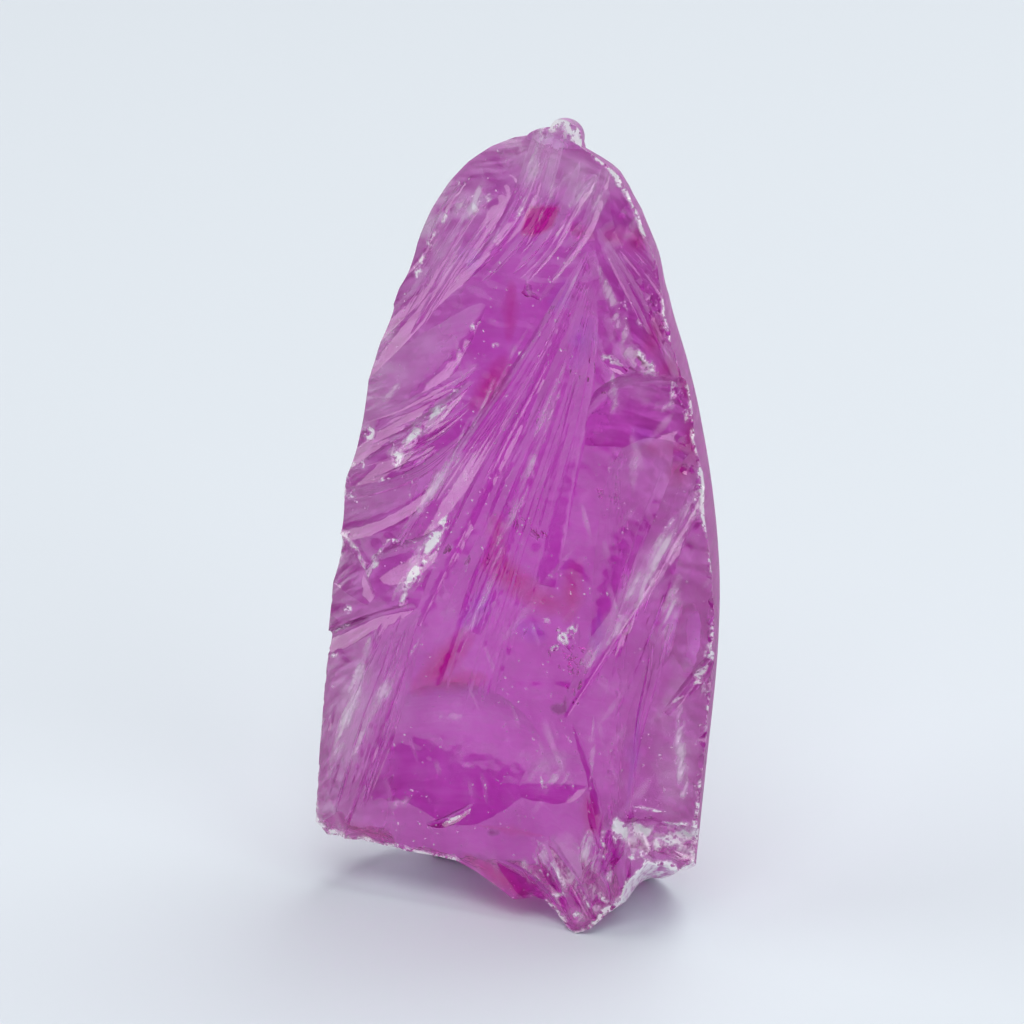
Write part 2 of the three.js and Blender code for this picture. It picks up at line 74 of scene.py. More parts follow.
# scars: where across it the hollow is deepest, then rows of [X, height, half width, depth]
SCARS = [
    (0.6, [[-1.5, 50.6, 1.2, 0.1], [-4.7, 45.9, 3.2, 0.45], [-7.6, 42, 3.8, 0.55],
           [-10.4, 37.5, 3.2, 0.45], [-12.8, 33, 2.2, 0.2]]),
    (0.4, [[-5.6, 44.8, 0.3, 0], [-7, 42.6, 0.9, 0.65], [-8.6, 40.2, 1, 0.75], [-11, 37.6, 1, 0.75]]),
    (-0.4, [[-5, 41.6, 0.3, 0], [-7.2, 38.8, 0.9, 0.65], [-9.4, 36.4, 1, 0.65],
            [-12.4, 33.6, 1, 0.6]]),
    (-0.5, [[0.4, 50.4, 0.6, 0.25], [-0.5, 47, 0.75, 0.45], [-1.5, 44.3, 0.7, 0.45],
            [-3.4, 41.2, 0.5, 0.4], [-7, 37.6, 0.35, 0]]),
    (0.4, [[0.9, 48.6, 0.3, 0], [0.3, 45.6, 0.4, 0.22], [-1, 41.8, 0.3, 0]]),
    (-0.4, [[3.7, 47, 0.3, 0], [2.2, 44.6, 0.5, 0.28], [0.4, 42, 0.35, 0]]),
    (0.5, [[4.4, 48, 0.5, 0.1], [5.5, 45, 0.9, 0.4], [6.6, 42.4, 1, 0.5], [8.6, 39.4, 0.9, 0.5]]),
    (-0.6, [[3.4, 42.2, 0.2, 0], [1.4, 37.4, 0.9, 0.3], [-1.2, 32.6, 1.1, 0.42],
            [-4.3, 27.6, 1.2, 0.42], [-7.6, 22.4, 0.9, 0.05]]),
    (0.5, [[3.2, 40.6, 0.15, 0], [1.2, 36, 0.5, 0.25], [-1.4, 30.4, 0.6, 0.32],
           [-4, 24.4, 0.7, 0.32], [-6.5, 18, 0.4, 0]]),
    (-0.5, [[3.8, 40.8, 0.2, 0], [2.1, 35, 0.7, 0.3], [0.3, 29.6, 0.8, 0.42],
            [-1.3, 23, 0.8, 0.32], [-2.5, 18, 0.4, 0]]),
    (0.4, [[4, 39.2, 0.3, 0], [3.4, 34, 0.9, 0.3], [2.4, 28, 1.1, 0.36], [1.8, 21.6, 0.8, 0]]),
    (0.5, [[-1.7, 26, 0.2, 0], [-3.2, 21.6, 0.55, 0.3], [-4.4, 17.4, 0.6, 0.25],
           [-5.4, 13.2, 0.4, 0]]),
    (0.3, [[-3.2, 38.4, 0.4, 0], [-6.4, 34.6, 1.8, 0.45], [-9.4, 31.4, 2.2, 0.6],
           [-13.2, 27.6, 1.9, 0.6]]),
    (-0.6, [[-3.8, 33.4, 0.2, 0], [-5.9, 31, 0.6, 0.4], [-7.9, 29, 0.9, 0.6],
            [-9.8, 27.4, 0.9, 0.4], [-11.8, 26.2, 0.8, 0.1]]),
    (0.4, [[-3.8, 29.6, 0.3, 0], [-7, 26.6, 1.4, 0.4], [-10, 24.6, 1.6, 0.5],
           [-13.4, 23.4, 1.5, 0.35]]),
    (-0.65, [[-9.7, 18.9, 0.5, 0], [-11, 20, 1.1, 0.5], [-12.6, 21.3, 1.4, 0.65],
             [-14.2, 22.6, 1.5, 0.6]]),
    (0.5, [[-10.2, 20.3, 0.25, 0], [-9, 21, 1.1, 0.45], [-7.4, 21.8, 1.3, 0.5],
           [-5.9, 22.9, 0.9, 0.3], [-4.9, 24.4, 0.3, 0]]),
    (0.5, [[-13.8, 15, 0.6, 0.5], [-11.4, 16.4, 0.75, 0.5], [-9.2, 17.7, 0.6, 0.45],
           [-6.6, 19, 0.35, 0]]),
    (0.55, [[-6.6, 19, 0.3, 0], [-8.4, 14.6, 1.3, 0.45], [-10, 10, 1.4, 0.5],
            [-11.4, 4.6, 1.1, 0.4], [-12.2, 1, 1, 0.3]]),
    (0.3, [[3.8, 43.6, 0.3, 0], [5.4, 40.4, 1.2, 0.35], [7.2, 37.4, 1.5, 0.55],
           [8.9, 34.6, 1.1, 0.3]]),
    (0.62, [[3.6, 30.6, 0.4, 0], [5.4, 32.3, 2, 0.7], [7.6, 33.2, 2.3, 1],
            [9.9, 33.5, 2, 1], [12.4, 33.4, 1.6, 0.9]]),
    (-0.3, [[8.8, 33, 0.9, 0], [7.4, 28.6, 2, 0.5], [6.5, 24, 1.7, 0.5], [5.5, 17.8, 0.8, 0]]),
    (0.5, [[12.6, 32.6, 0.9, 0.3], [10.2, 28, 1.4, 0.55], [7.6, 22.6, 1.2, 0.5],
           [5.2, 17.6, 0.8, 0.4], [3.4, 13.6, 0.3, 0]]),
    (-0.4, [[13.6, 19.4, 0.6, 0.9], [11.6, 17, 0.5, 0.5], [9.9, 14.7, 0.25, 0]]),
    (0.5, [[9.9, 20.4, 0.3, 0], [8.6, 16, 0.6, 0.35], [7.8, 12, 0.6, 0.4], [7.7, 8, 0.5, 0.3]]),
    (0.5, [[-9.4, 7.4, 1.2, 0], [-6.4, 9.2, 3.9, 0.5], [-3, 10.2, 4.7, 0.65],
           [0.4, 10.4, 3.5, 0.35], [2.4, 10.2, 1.2, 0]]),
    (-0.2, [[0, 8.6, 0.6, 0], [1.8, 9.4, 1.6, 0.3], [3.8, 9.9, 1.8, 0.35], [5.4, 10.4, 0.8, 0]]),
    (0.5, [[3.9, 13.6, 0.15, 0], [4.9, 11.2, 0.3, 0.2], [5.8, 8.6, 0.35, 0.25], [6.5, 5.6, 0.3, 0.2]]),
    (-0.4, [[-1.4, 8, 0.12, 0], [-2.7, 6.6, 0.4, 0.3], [-4.1, 5.7, 0.35, 0.25], [-5.2, 5.4, 0.15, 0]]),
    (0.6, [[5.8, 6.4, 0.3, 0], [8.4, 6.9, 1, 0.7], [11, 6.6, 1.1, 0.9], [13.6, 6, 1.1, 1]]),
    (-0.3, [[7, 9, 0.25, 0], [7.5, 6.6, 0.6, 0.5], [7.6, 3.6, 0.7, 0.6], [7.6, 1, 0.6, 0.6]]),
    (0.4, [[1.9, 6, 0.15, 0], [3.1, 3.7, 0.42, 0.3], [4.5, 0.8, 0.35, 0.25]]),
    (-0.4, [[2.7, 6.4, 0.15, 0], [4.2, 4, 0.5, 0.32], [6, 1.2, 0.45, 0.3]]),
    (0.5, [[4.6, 7, 0.4, 0], [6, 4, 0.8, 0.45], [7, 0.8, 0.7, 0.5]]),
    (0.5, [[-0.6, 3.9, 0.3, 0], [1.6, 2.6, 0.9, 0.45], [4.2, 0.4, 0.7, 0.3]]),
]
# lower edge of the face: X, height
FOOT_FRONT = [
    [-16, 4.6], [-12.5, 4.25], [-11.9, 3.6], [-8.8, 3.5], [-5.6, 3.25], [-3.1, 3.1],
    [-1.9, 2.7], [0, 1.75], [0.8, 1.3], [2.1, 1.6], [2.8, 1.5], [3.8, 0.7], [4.3, 0.2],
    [4.95, -0.05], [5.9, 0.4], [6.7, 1.25], [7.6, 2.1], [7.75, 3.2], [9.1, 5.05],
    [11.1, 4.55], [11.9, 5.4], [16, 8],
]
HEEL_DEPTH = 7.6  # how far behind the face the break reaches the heel's level
HEEL_HALF_WIDTH = 6.6  # beyond it the skin is broken away upwards
FOOT_ARCH = {"x": -1.6, "y": 4.3, "wide": 8, "deep": 3.4, "high": 1.5}
# lumps of the nub: centre, half sizes, turn about the upright
NUB = [
    ((0.5, 1.1, 48.1), (1.9, 1.9, 1.15), 20),
    ((1.2, 0.9, 48.75), (1.05, 1.35, 1.15), -25),
    ((1.75, 0.35, 48.6), (0.65, 0.8, 1.05), 40),
]
# bites out of the grown skin: centre, half sizes
SKIN_BITES = [
    ((-7.9, 9.9, 27), (1.6, 1.4, 4.2)),
    ((9.2, 8.8, 18.6), (1.7, 1.5, 2.6)),
    ((1.5, 12.3, 36.5), (2.8, 1.8, 1.9)),
    ((-3.6, 13, 12.4), (2.4, 1.8, 3.2)),
]

# ---------------------------------------------------------------- fineness, mm
FACE_STEP = 0.17
SKIN_STEP = 0.36
SKIN_GIRTH = 78
FOOT_STEP = 0.22
TABLE_STEP = 0.15
GROWTH_DEPTH = 0.6  # relief of the growth rings on the skin
CRISP_ANGLE = 34  # facets that meet at more than this keep a crisp edge

TURN_SLOPE = math.tan(math.radians(FACE_TURN))
GROUND_SLOPE = math.tan(math.radians(LEAN))


def along_rows(rows, at):
    """Points on the smooth line through the rows, at whole or part row numbers."""
    rows = np.asarray(rows, float)
    at = np.clip(np.asarray(at, float), 0, len(rows) - 1)
    i = np.minimum(at.astype(int), len(rows) - 2)
    t = (at - i)[..., None]
    a, b = rows[i], rows[i + 1]
    before, after = rows[np.maximum(i - 1, 0)], rows[np.minimum(i + 2, len(rows) - 1)]
    leave, arrive = (b - before) / 2, (after - a) / 2
    start = (2 * t**3 - 3 * t**2 + 1) * a + (t**3 - 2 * t**2 + t) * leave
    return start + (3 * t**2 - 2 * t**3) * b + (t**3 - t**2) * arrive


def edge_x(table, z):
    """X of a side of the column at each height."""
    heights = [row[0] for row in table]
    return along_rows(table, np.interp(z, heights, range(len(table))))[..., 1]


def plane_depth(points):
    """Depth of the plane through three points, as a function of X and height."""
    (ax, ay, az), b, c = points
    u, v = np.subtract(b, points[0]), np.subtract(c, points[0])
    area = u[0] * v[2] - v[0] * u[2]
    across = (u[1] * v[2] - v[1] * u[2]) / area
    up = (u[0] * v[1] - v[0] * u[1]) / area
    return lambda x, z: ay + (x - ax) * across + (z - az) * up


FACE_PLANES = [lambda x, z: -x * TURN_SLOPE] + [plane_depth(p) for p in FACE_BREAKS]


def face_depth(x, z):
    """Depth of the flat parts of the break."""
    return np.maximum.reduce([plane(x, z) for plane in FACE_PLANES])


def beside_line(x, z, line):
    """For each point: how far along the line, how far to its left, and whether level with it."""
    best = np.full(x.shape, 1e9)
    along, side = np.zeros(x.shape), np.full(x.shape, 1e9)
    level = np.zeros(x.shape, bool)
    last = len(line) - 2
    for k, (a, b) in enumerate(zip(line[:-1], line[1:])):
        run = b[:2] - a[:2]
        length = np.hypot(*run)
        t = ((x - a[0]) * run[0] + (z - a[1]) * run[1]) / length**2
        left = ((z - a[1]) * run[0] - (x - a[0]) * run[1]) / length
        short = np.clip(t, 0, 1)
        away = np.hypot(x - a[0] - short * run[0], z - a[1] - short * run[1])
        nearer = away < best
        best = np.where(nearer, away, best)
        along = np.where(nearer, k + short, along)
        side = np.where(nearer, np.where(left < 0, -away, away), side)
        off_end = ((t < 0) & (k == 0)) | ((t > 1) & (k == last))
        level = np.where(nearer, ~off_end, level)
    return along, side, level


def scar_hollow(x, z, deepest, rows, per_row=8):
    """How deep a scar cuts at each point; far below nothing where it doesn't reach."""
    line = along_rows(rows, np.linspace(0, len(rows) - 1, (len(rows) - 1) * per_row + 1))
    reach = line[:, 2].max() * 1.1
    low, high = line[:, :2].min(0) - reach, line[:, :2].max(0) + reach
    near = (x > low[0]) & (x < high[0]) & (z > low[1]) & (z < high[1])
    along, side, level = beside_line(x[near], z[near], line)
    wide = np.interp(along, range(len(line)), line[:, 2])
    deep = np.interp(along, range(len(line)), line[:, 3])
    u = side / wide
    arm = np.where(u < deepest, 1 + deepest, 1 - deepest)
    cut = (deep + SCAR_LIP) * (1 - ((u - deepest) / arm) ** 2) - SCAR_LIP
    hollow = np.full(x.shape, -1e3)
    hollow[near] = np.where((np.abs(u) <= 1) & level, cut, -1e3)
    return hollow


def smooth_noise(x, z, pitch, seed):
    """Soft noise from -1 to 1 with bumps about one pitch across."""
    values = np.random.default_rng(seed).uniform(-1, 1, (64, 64))
    u, v = x / pitch + 1000, z / pitch + 1000
    i, j = np.floor(u).astype(int), np.floor(v).astype(int)
    s, t = u - i, v - j
    s, t = s * s * (3 - 2 * s), t * t * (3 - 2 * t)
    i, j, i2, j2 = i % 64, j % 64, (i + 1) % 64, (j + 1) % 64
    low = values[i, j] + (values[i2, j] - values[i, j]) * s
    high = values[i, j2] + (values[i2, j2] - values[i, j2]) * s
    return low + (high - low) * t


def fan(left, right, count, seed, wide, deep):
    """Fine strokes between two guide lines, as rows of [X, height, half width, depth]."""
    rng = np.random.default_rng(seed)
    strokes = []
    for k in range(count):
        share = (k + rng.uniform(0, 1)) / count
        start, end = rng.uniform(0, 0.45), rng.uniform(0.55, 1)
        at = np.linspace(start, end, 5)
        a = along_rows(left, at * (len(left) - 1))
        b = along_rows(right, at * (len(right) - 1))
        line = a + (b - a) * share
        w, d = wide * rng.uniform(0.4, 1.3), deep * rng.uniform(0.4, 1.4)
        taper = np.array([0.35, 0.9, 1, 0.8, 0.3])
        rows = np.column_stack([line, w * taper, d * taper * [0, 1, 1, 1, 0]])
        strokes.append((rng.choice([-0.6, 0.6]), rows))
    return strokes


# hairline strokes: guide lines of [X, height], number, seed, half width, depth
FINE = (
    fan([[3.2, 42.6], [-0.5, 35.5], [-5, 28.5], [-8.6, 22]],
        [[4.4, 41], [3.4, 33], [2.2, 26], [0.6, 17]], 44, 11, 0.28, 0.11)
    + fan([[-0.6, 49.8], [-2.5, 43.5], [-6.8, 38.4]], [[4.6, 47.6], [3.4, 43.4], [0.8, 39.6]],
          16, 12, 0.3, 0.1)
    + fan([[-3.4, 35], [-7, 32.4], [-11.4, 30]], [[-3.4, 30.4], [-7, 27], [-11.6, 24.8]],
          20, 13, 0.26, 0.12)
    + fan([[-5.4, 19.4], [-7.4, 12], [-9.6, 4.2]], [[-8.8, 18.6], [-12, 11], [-13.2, 5]],
          22, 14, 0.28, 0.12)
    + fan([[3.6, 43.4], [6, 39.4], [8, 35.6]], [[5, 43.6], [7.8, 41], [10, 38]],
          12, 15, 0.25, 0.09)
    + fan([[-1.4, 26], [-3.6, 20], [-5.6, 13]], [[1.2, 24], [0, 18], [-1.6, 12]],
          12, 16, 0.22, 0.07)
    + fan([[8.6, 31], [6.4, 24], [4.4, 15]], [[11.6, 29], [9.6, 22], [6.6, 13]],
          5, 17, 0.3, 0.06)
    + fan([[-5.2, 45.2], [-7.4, 41], [-9.6, 36.6]], [[-2.4, 43.6], [-5, 39.6], [-7.4, 35]],
          16, 18, 0.2, 0.08)
    + fan([[5.6, 9.4], [5.2, 6], [4.4, 2.6]], [[8.2, 8.6], [7.4, 5.6], [6.4, 3.4]],
          9, 19, 0.22, 0.1)
)
# centres of the ribs that spread through a scar: X, height, nearest and farthest radius, depth
RIBS = [
    (9.6, 38.4, 3.4, 7.6, 0.03), (-3.2, 3.4, 3.2, 11, 0.025), (-0.4, 50.5, 3, 13, 0.02),
    (-7.4, 24.2, 1.2, 4.4, 0.03), (3, 12.6, 1.2, 5, 0.02),
]
# small glassy flakes off the corner, the tip and the ledges, as in SCARS
FLAKES = [
    (0.5, [[7.3, 8.8, 0.2, 0], [7.5, 7.3, 0.5, 0.32], [7.3, 5.8, 0.45, 0.28], [7, 4.6, 0.2, 0]]),
    (-0.5, [[8, 8.4, 0.15, 0], [8.5, 7.2, 0.45, 0.36], [9.1, 6.2, 0.4, 0.25], [9.7, 5.4, 0.1, 0]]),
    (0.5, [[9, 8.2, 0.15, 0], [9.9, 7.3, 0.45, 0.32], [10.9, 6.7, 0.45, 0.3], [11.9, 6.3, 0.2, 0.1]]),
    (-0.5, [[9.4, 6.7, 0.15, 0], [10.4, 6, 0.35, 0.28], [11.4, 5.6, 0.35, 0.2], [12.1, 5.4, 0.1, 0]]),
    (0.5, [[6.7, 8.3, 0.1, 0], [6.5, 7.1, 0.3, 0.26], [6.6, 5.9, 0.3, 0.2], [6.9, 5, 0.1, 0]]),
    (-0.6, [[5.3, 9, 0.1, 0], [5.6, 7.6, 0.25, 0.2], [6, 6.4, 0.22, 0.16], [6.4, 5.4, 0.1, 0]]),
    (-0.6, [[2.2, 5, 0.1, 0], [2.8, 3.9, 0.3, 0.2], [3.5, 2.9, 0.3, 0.2], [4.2, 1.9, 0.1, 0]]),
    (0.6, [[2.8, 5.6, 0.1, 0], [3.8, 4.3, 0.26, 0.18], [4.9, 3, 0.26, 0.18], [5.8, 1.9, 0.1, 0]]),
    (-0.4, [[1.2, 3.6, 0.1, 0], [1.9, 2.9, 0.25, 0.16], [2.8, 2.1, 0.25, 0.16], [3.6, 1.3, 0.1, 0]]),
    (0.6, [[-2.9, 44.8, 0.1, 0], [-4, 44.3, 0.3, 0.16], [-4.9, 43.4, 0.35, 0.2], [-5.6, 42, 0.1, 0]]),
    (-0.6, [[-5, 45.6, 0.1, 0], [-6, 44.2, 0.3, 0.2], [-6.8, 42.8, 0.3, 0.2], [-7.6, 41, 0.1, 0]]),
    (0.6, [[4.4, 36.4, 0.1, 0], [5.2, 35.7, 0.35, 0.16], [6.2, 35.3, 0.3, 0.16], [7.2, 35.3, 0.1, 0]]),
    (0.7, [[3.9, 19.7, 0.08, 0], [3.7, 19, 0.22, 0.18], [3.4, 18.3, 0.08, 0]]),
    (-0.7, [[2.9, 19, 0.08, 0], [3.3, 18.3, 0.2, 0.16], [3.8, 17.7, 0.08, 0]]),
    (0.7, [[3, 18.1, 0.06, 0], [2.6, 17.8, 0.18, 0.14], [2.1, 17.6, 0.06, 0]]),
    (-0.5, [[8.9, 18.9, 0.1, 0], [8.6, 16.4, 0.2, 0.14], [8.2, 14, 0.2, 0.12], [8, 11.6, 0.1, 0]]),
]
# crushed patches, the ones round X 3.4, height 18 also painting the glints of the sparkle cluster
# white: X, height, half width, half height, turn, strength
CRUSHED = [
    (7.3, 6.6, 0.35, 1.1, 6, 1), (8.4, 7.1, 0.6, 0.3, -30, 1), (6.4, 5.9, 0.16, 1, 4, 1),
    (10.4, 6.5, 1, 0.28, 12, 1), (11.7, 6.3, 0.2, 0.8, 0, 0.9), (9, 5.7, 1.1, 0.16, 24, 1),
    (10.6, 7.6, 0.9, 0.1, 8, 1), (6.9, 4, 0.2, 0.8, -8, 0.8), (8.9, 8.6, 1.3, 0.07, -8, 1),
    (3.6, 2.3, 0.7, 0.16, 8, 1), (4.7, 1.3, 0.4, 0.14, 0, 0.8), (2.3, 4, 0.1, 0.9, 32, 0.8),
    (3.9, 3.2, 0.1, 1.5, 38, 0.9), (5.3, 2.4, 0.12, 0.9, 36, 0.8), (6.5, 2.6, 0.3, 0.4, 0, 0.7),
    (1.6, 49.1, 0.6, 0.4, 40, 0.6), (-0.2, 48.9, 0.2, 0.9, -12, 0.8), (0.8, 49.5, 0.6, 0.14, 10, 0.8),
    (-5.5, 23.7, 0.35, 1.4, -30, 1), (-6.8, 21.1, 0.3, 1.4, -30, 0.9), (-7.5, 19.4, 0.2, 0.8, -24, 0.8),
    (-11.3, 22.3, 0.14, 0.8, 50, 1), (-10.4, 21, 0.16, 1.1, 24, 1), (-9.6, 21.4, 0.16, 1.4, -26, 1),
    (-7.9, 22.9, 1.5, 0.12, 5, 0.9), (-10.9, 22.8, 0.5, 0.12, -10, 0.8),
    # painted glints of the sparkle cluster, partly a real crushed spot
    (3.7, 19.1, 0.22, 0.5, -24, 1), (3.2, 18.4, 0.24, 0.35, 30, 1), (3.9, 18.2, 0.14, 0.45, 10, 1),
    (2.6, 17.8, 0.3, 0.14, 24, 1), (3.5, 17.2, 0.08, 0.4, -30, 1), (4.4, 17, 0.06, 0.5, 10, 1),
    (2.1, 19.4, 0.35, 0.06, -20, 0.9), (4.2, 16, 0.08, 0.25, 20, 1), (2.9, 19, 0.1, 0.16, 0, 1),
    (-10.7, 29.1, 0.3, 0.5, 0, 1), (-11, 27.3, 0.16, 0.5, 0, 0.8), (-11.3, 25.4, 0.2, 0.3, 0, 0.8),
    (5.2, 35.9, 0.8, 0.2, -20, 1), (7.4, 36, 0.16, 1.5, 48, 0.9), (9, 34.4, 0.3, 0.5, 20, 0.9),
    (5.9, 39.2, 0.3, 0.36, 0, 0.8), (6.7, 38.2, 0.1, 0.6, 30, 0.7), (9.9, 33.2, 0.16, 0.9, 10, 0.8),
    (-6, 31.3, 0.14, 1.1, -46, 1), (-7.5, 29.7, 0.25, 1, -40, 1), (-8.6, 28, 0.4, 0.5, -20, 0.9),
    (-9.3, 26.4, 0.3, 0.2, 30, 0.8), (-4.9, 32.6, 0.08, 0.8, -46, 0.8),
    (11.7, 17.2, 0.16, 0.9, -34, 1), (10.7, 15.8, 0.12, 0.8, -50, 0.8), (12.1, 16.4, 0.2, 0.4, 0, 0.8),
    (-2.7, 6.5, 0.9, 0.1, 38, 0.9), (-3.8, 5.8, 0.5, 0.08, 30, 0.8), (-11.2, 18.1, 0.2, 0.14, 0, 0.8),
    (-7.3, 41.7, 0.2, 0.7, -28, 1), (-6.5, 43, 0.16, 0.5, -30, 0.9), (-8, 39.8, 0.2, 0.8, -20, 0.9),
    (-5.4, 45.2, 0.25, 0.3, -40, 0.9), (-4.5, 43.7, 0.16, 0.5, 16, 0.9),
    (-3.6, 44.4, 0.12, 0.3, 0, 0.8),
    (-1.3, 44, 0.12, 0.3, -30, 0.8), (-4.1, 36.6, 0.35, 0.3, 0, 0.7), (-2.4, 35.8, 0.25, 0.16, 0, 0.8),
    (-0.5, 35.5, 0.14, 0.25, 0, 0.9), (-1.2, 34.8, 0.2, 0.1, 0, 0.8), (-12, 15.2, 0.3, 0.12, 30, 0.8),
    (-11.6, 16.9, 0.9, 0.06, 36, 0.9), (3.1, 15.6, 0.1, 0.2, 0, 0.8), (2.2, 9.2, 0.1, 0.5, 30, 0.7),
    (3.9, 12.2, 0.08, 0.9, 34, 0.8), (-9.4, 34.4, 0.14, 0.3, 0, 0.7), (-5.6, 34.5, 0.3, 0.2, 0, 0.7),
]
# soft white streaks in the skin of the breaks, partly fine cracks that scatter white and partly painted
# reflection off their ridges, as above
STREAKS = [
    (1.2, 32, 0.42, 3.4, -16, 1), (-0.7, 25.4, 0.4, 4.2, -17, 1), (-3.4, 31.2, 0.3, 4.2, -30, 1),
    (-6, 26.4, 0.35, 3.2, -34, 1), (1.9, 38.8, 0.12, 3.6, -22, 1), (-2, 20.6, 0.14, 5, -20, 0.9),
    (-1.8, 34.6, 0.2, 3.4, -32, 0.9), (-0.9, 46.2, 0.3, 2.8, -14, 1), (-2.6, 42.6, 0.22, 2.2, -34, 1),
    (0.6, 45.8, 0.16, 2.6, -14, 1), (2.4, 44.8, 0.3, 2.2, -32, 1), (3.7, 44.9, 0.4, 1.6, -30, 0.8),
    (-4.8, 44.2, 0.9, 1.5, -34, 0.9), (5.4, 38.6, 0.3, 3.4, 26, 1), (7, 35.8, 0.4, 1.8, 50, 1),
    (-6.3, 30.8, 0.5, 2.4, -46, 1), (-8.4, 28.4, 0.9, 1, -30, 0.9), (-9.6, 31.6, 0.4, 2, -40, 0.6),
    (-6.6, 21.6, 0.7, 2.8, -30, 1), (9.4, 25.4, 0.6, 5.4, -32, 0.9), (6.4, 19.4, 0.24, 5, -34, 1),
    (10.9, 12.4, 0.5, 4.4, 4, 0.7), (9.8, 21, 0.5, 3, -12, 0.8), (-10.8, 12, 0.4, 5.4, -14, 0.9),
    (-9, 12.6, 0.25, 5.6, -22, 0.9), (-7.6, 14.6, 0.2, 4.4, -30, 0.7), (5.4, 11.6, 0.2, 3.4, 0, 0.7),
    (3.2, 3.9, 0.45, 2, 36, 1), (4.8, 3, 0.4, 1.9, 40, 1), (5.6, 5.4, 0.6, 1.4, 10, 1),
    (2.1, 3, 0.35, 1.4, 40, 1), (6, 2.6, 0.35, 1.2, 20, 1), (5, 1.2, 0.8, 0.3, 10, 1),
    (8.6, 6.6, 1.9, 0.8, -6, 0.9), (11, 6.6, 1, 1.2, 0, 1), (3.4, 9.6, 1, 0.5, 20, 0.7),
    (-4.4, 12, 1.8, 0.4, 24, 0.6), (-2.6, 9.6, 1.6, 0.3, 40, 0.6), (-6.8, 6.6, 1.6, 0.3, 30, 0.6),
    (6.9, 29.6, 0.25, 3, 4, 0.7), (8.6, 33.4, 0.8, 0.3, 20, 0.8), (5.3, 33.6, 0.2, 2.4, -4, 0.8),
]
# deep red patches that paint the deeper colour of long light paths inside the stone, violet and dark
# patches, and whitish patches of painted reflection haze, as above but with strength as a share of
# their size
CRIMSON = [
    (5, 43.4, 0.5, 0.28, 10, 1), (6.2, 43.2, 0.4, 0.5, 0, 1), (7.7, 37.7, 0.4, 1, -14, 1),
    (8.6, 35.6, 0.3, 0.5, -20, 1), (2.9, 43.3, 0.8, 0.25, -10, 0.8), (8.6, 30.9, 2, 0.3, 12, 0.9),
    (9.8, 29.6, 0.5, 0.6, 0, 0.9), (-2.5, 33.4, 0.6, 1.9, -30, 1), (-1.5, 38, 0.3, 1.5, 0, 1),
    (-0.6, 21.9, 1.9, 0.8, -30, 1), (1.7, 20.7, 1.8, 0.6, -12, 1), (3.5, 21.4, 0.5, 1.7, -6, 1),
    (-4.6, 15.8, 0.7, 2.6, -38, 1), (-3.8, 14.8, 2, 0.5, 12, 1), (5.6, 7.6, 0.35, 1, 12, 1),
    (-0.5, 2.9, 2, 0.25, -26, 1), (-9.2, 4.4, 1.6, 0.2, -6, 0.9), (0.5, 5.9, 2.4, 0.15, 0, 0.8),
    (-1.6, 24.4, 0.4, 0.9, 0, 1), (10.4, 31.6, 0.2, 1.4, 14, 1), (9.6, 35, 0.2, 1, 14, 0.9),
]
# the same painted shade of long light paths as convex facets: corners (X, height), in order round
CRIMSON_FACETS = [
    [(-0.85, 44.4), (1.4, 44.75), (0.9, 43.3), (-0.3, 42.65), (-1.2, 42.6)],
]
VIOLET = [
    (3.3, 36.9, 0.5, 1.4, -14, 1), (1.7, 39.3, 0.3, 0.8, -14, 1), (-2.6, 19.4, 0.6, 1.6, -34, 0.8),
    (0.9, 18.6, 1.2, 0.6, -10, 0.6), (5.3, 18.9, 0.14, 1.5, 0, 1), (8, 12, 0.12, 3.6, -4, 1),
    (7.4, 31.6, 0.6, 0.4, 0, 0.6), (-4.4, 40.6, 0.9, 0.5, -30, 0.6),
]
DARK = [
    (3.2, 14.1, 0.6, 0.36, 10, 1), (3.5, 14.6, 0.2, 0.3, 0, 1),
    (7, 41.4, 0.1, 0.2, 0, 1), (7.4, 39.8, 0.1, 0.16, 0, 1), (9.9, 31.6, 0.25, 0.1, 0, 1),
    (10.2, 30.2, 0.12, 0.3, 0, 1), (5.1, 17.4, 0.05, 1.3, 0, 1), (10.6, 28.4, 0.1, 0.2, 0, 1),
    (-11, 17.2, 1.3, 0.2, 28, 0.9), (-0.7, 5.6, 0.5, 0.25, 10, 0.8), (8.7, 16.4, 0.05, 3, -13, 1),
    (4.2, 18.8, 0.05, 0.9, 0, 1),
]
# painted reflection haze: whitish patches where the breaks mirror the bright surroundings, as above
PAINTED_HAZE = [
    (1.4, 46.7, 4, 1.4, -6, 1), (-4.8, 44.4, 1.2, 1.4, -30, 0.8), (10.6, 12.6, 1.2, 5.6, 0, 0.8),
    (8.3, 23.4, 0.7, 7, -30, 1), (-10.6, 12, 1.2, 5.6, -8, 0.8), (2.4, 10.4, 1.3, 1.1, 0, 0.8),
    (-9.6, 33.6, 1.2, 2.6, -20, 0.7), (4.4, 4.4, 1.8, 1.4, -30, 1), (9.4, 6.2, 2.2, 1.1, 0, 1),
    (7, 34.3, 1.8, 0.7, 0, 0.7), (-5, 26, 0.8, 6, -32, 0.9),
]


def nearness(x, z, patches, corner=3):
    """How far inside the nearest patch each point is, in mm; negative outside."""
    inside = np.full(x.shape, -9.0)
    for px, pz, wide, tall, turn, strength in patches:
        a = math.radians(turn)
        u = np.abs((x - px) * math.cos(a) + (z - pz) * math.sin(a))
        v = np.abs((z - pz) * math.cos(a) - (x - px) * math.sin(a))
        share = np.maximum(((u / wide) ** corner + (v / tall) ** corner) ** (1 / corner), 1e-6)
        size = np.where(share < strength, min(wide, tall), np.hypot(u, v) / share)
        inside = np.maximum(inside, (strength - share) * size)
    return inside


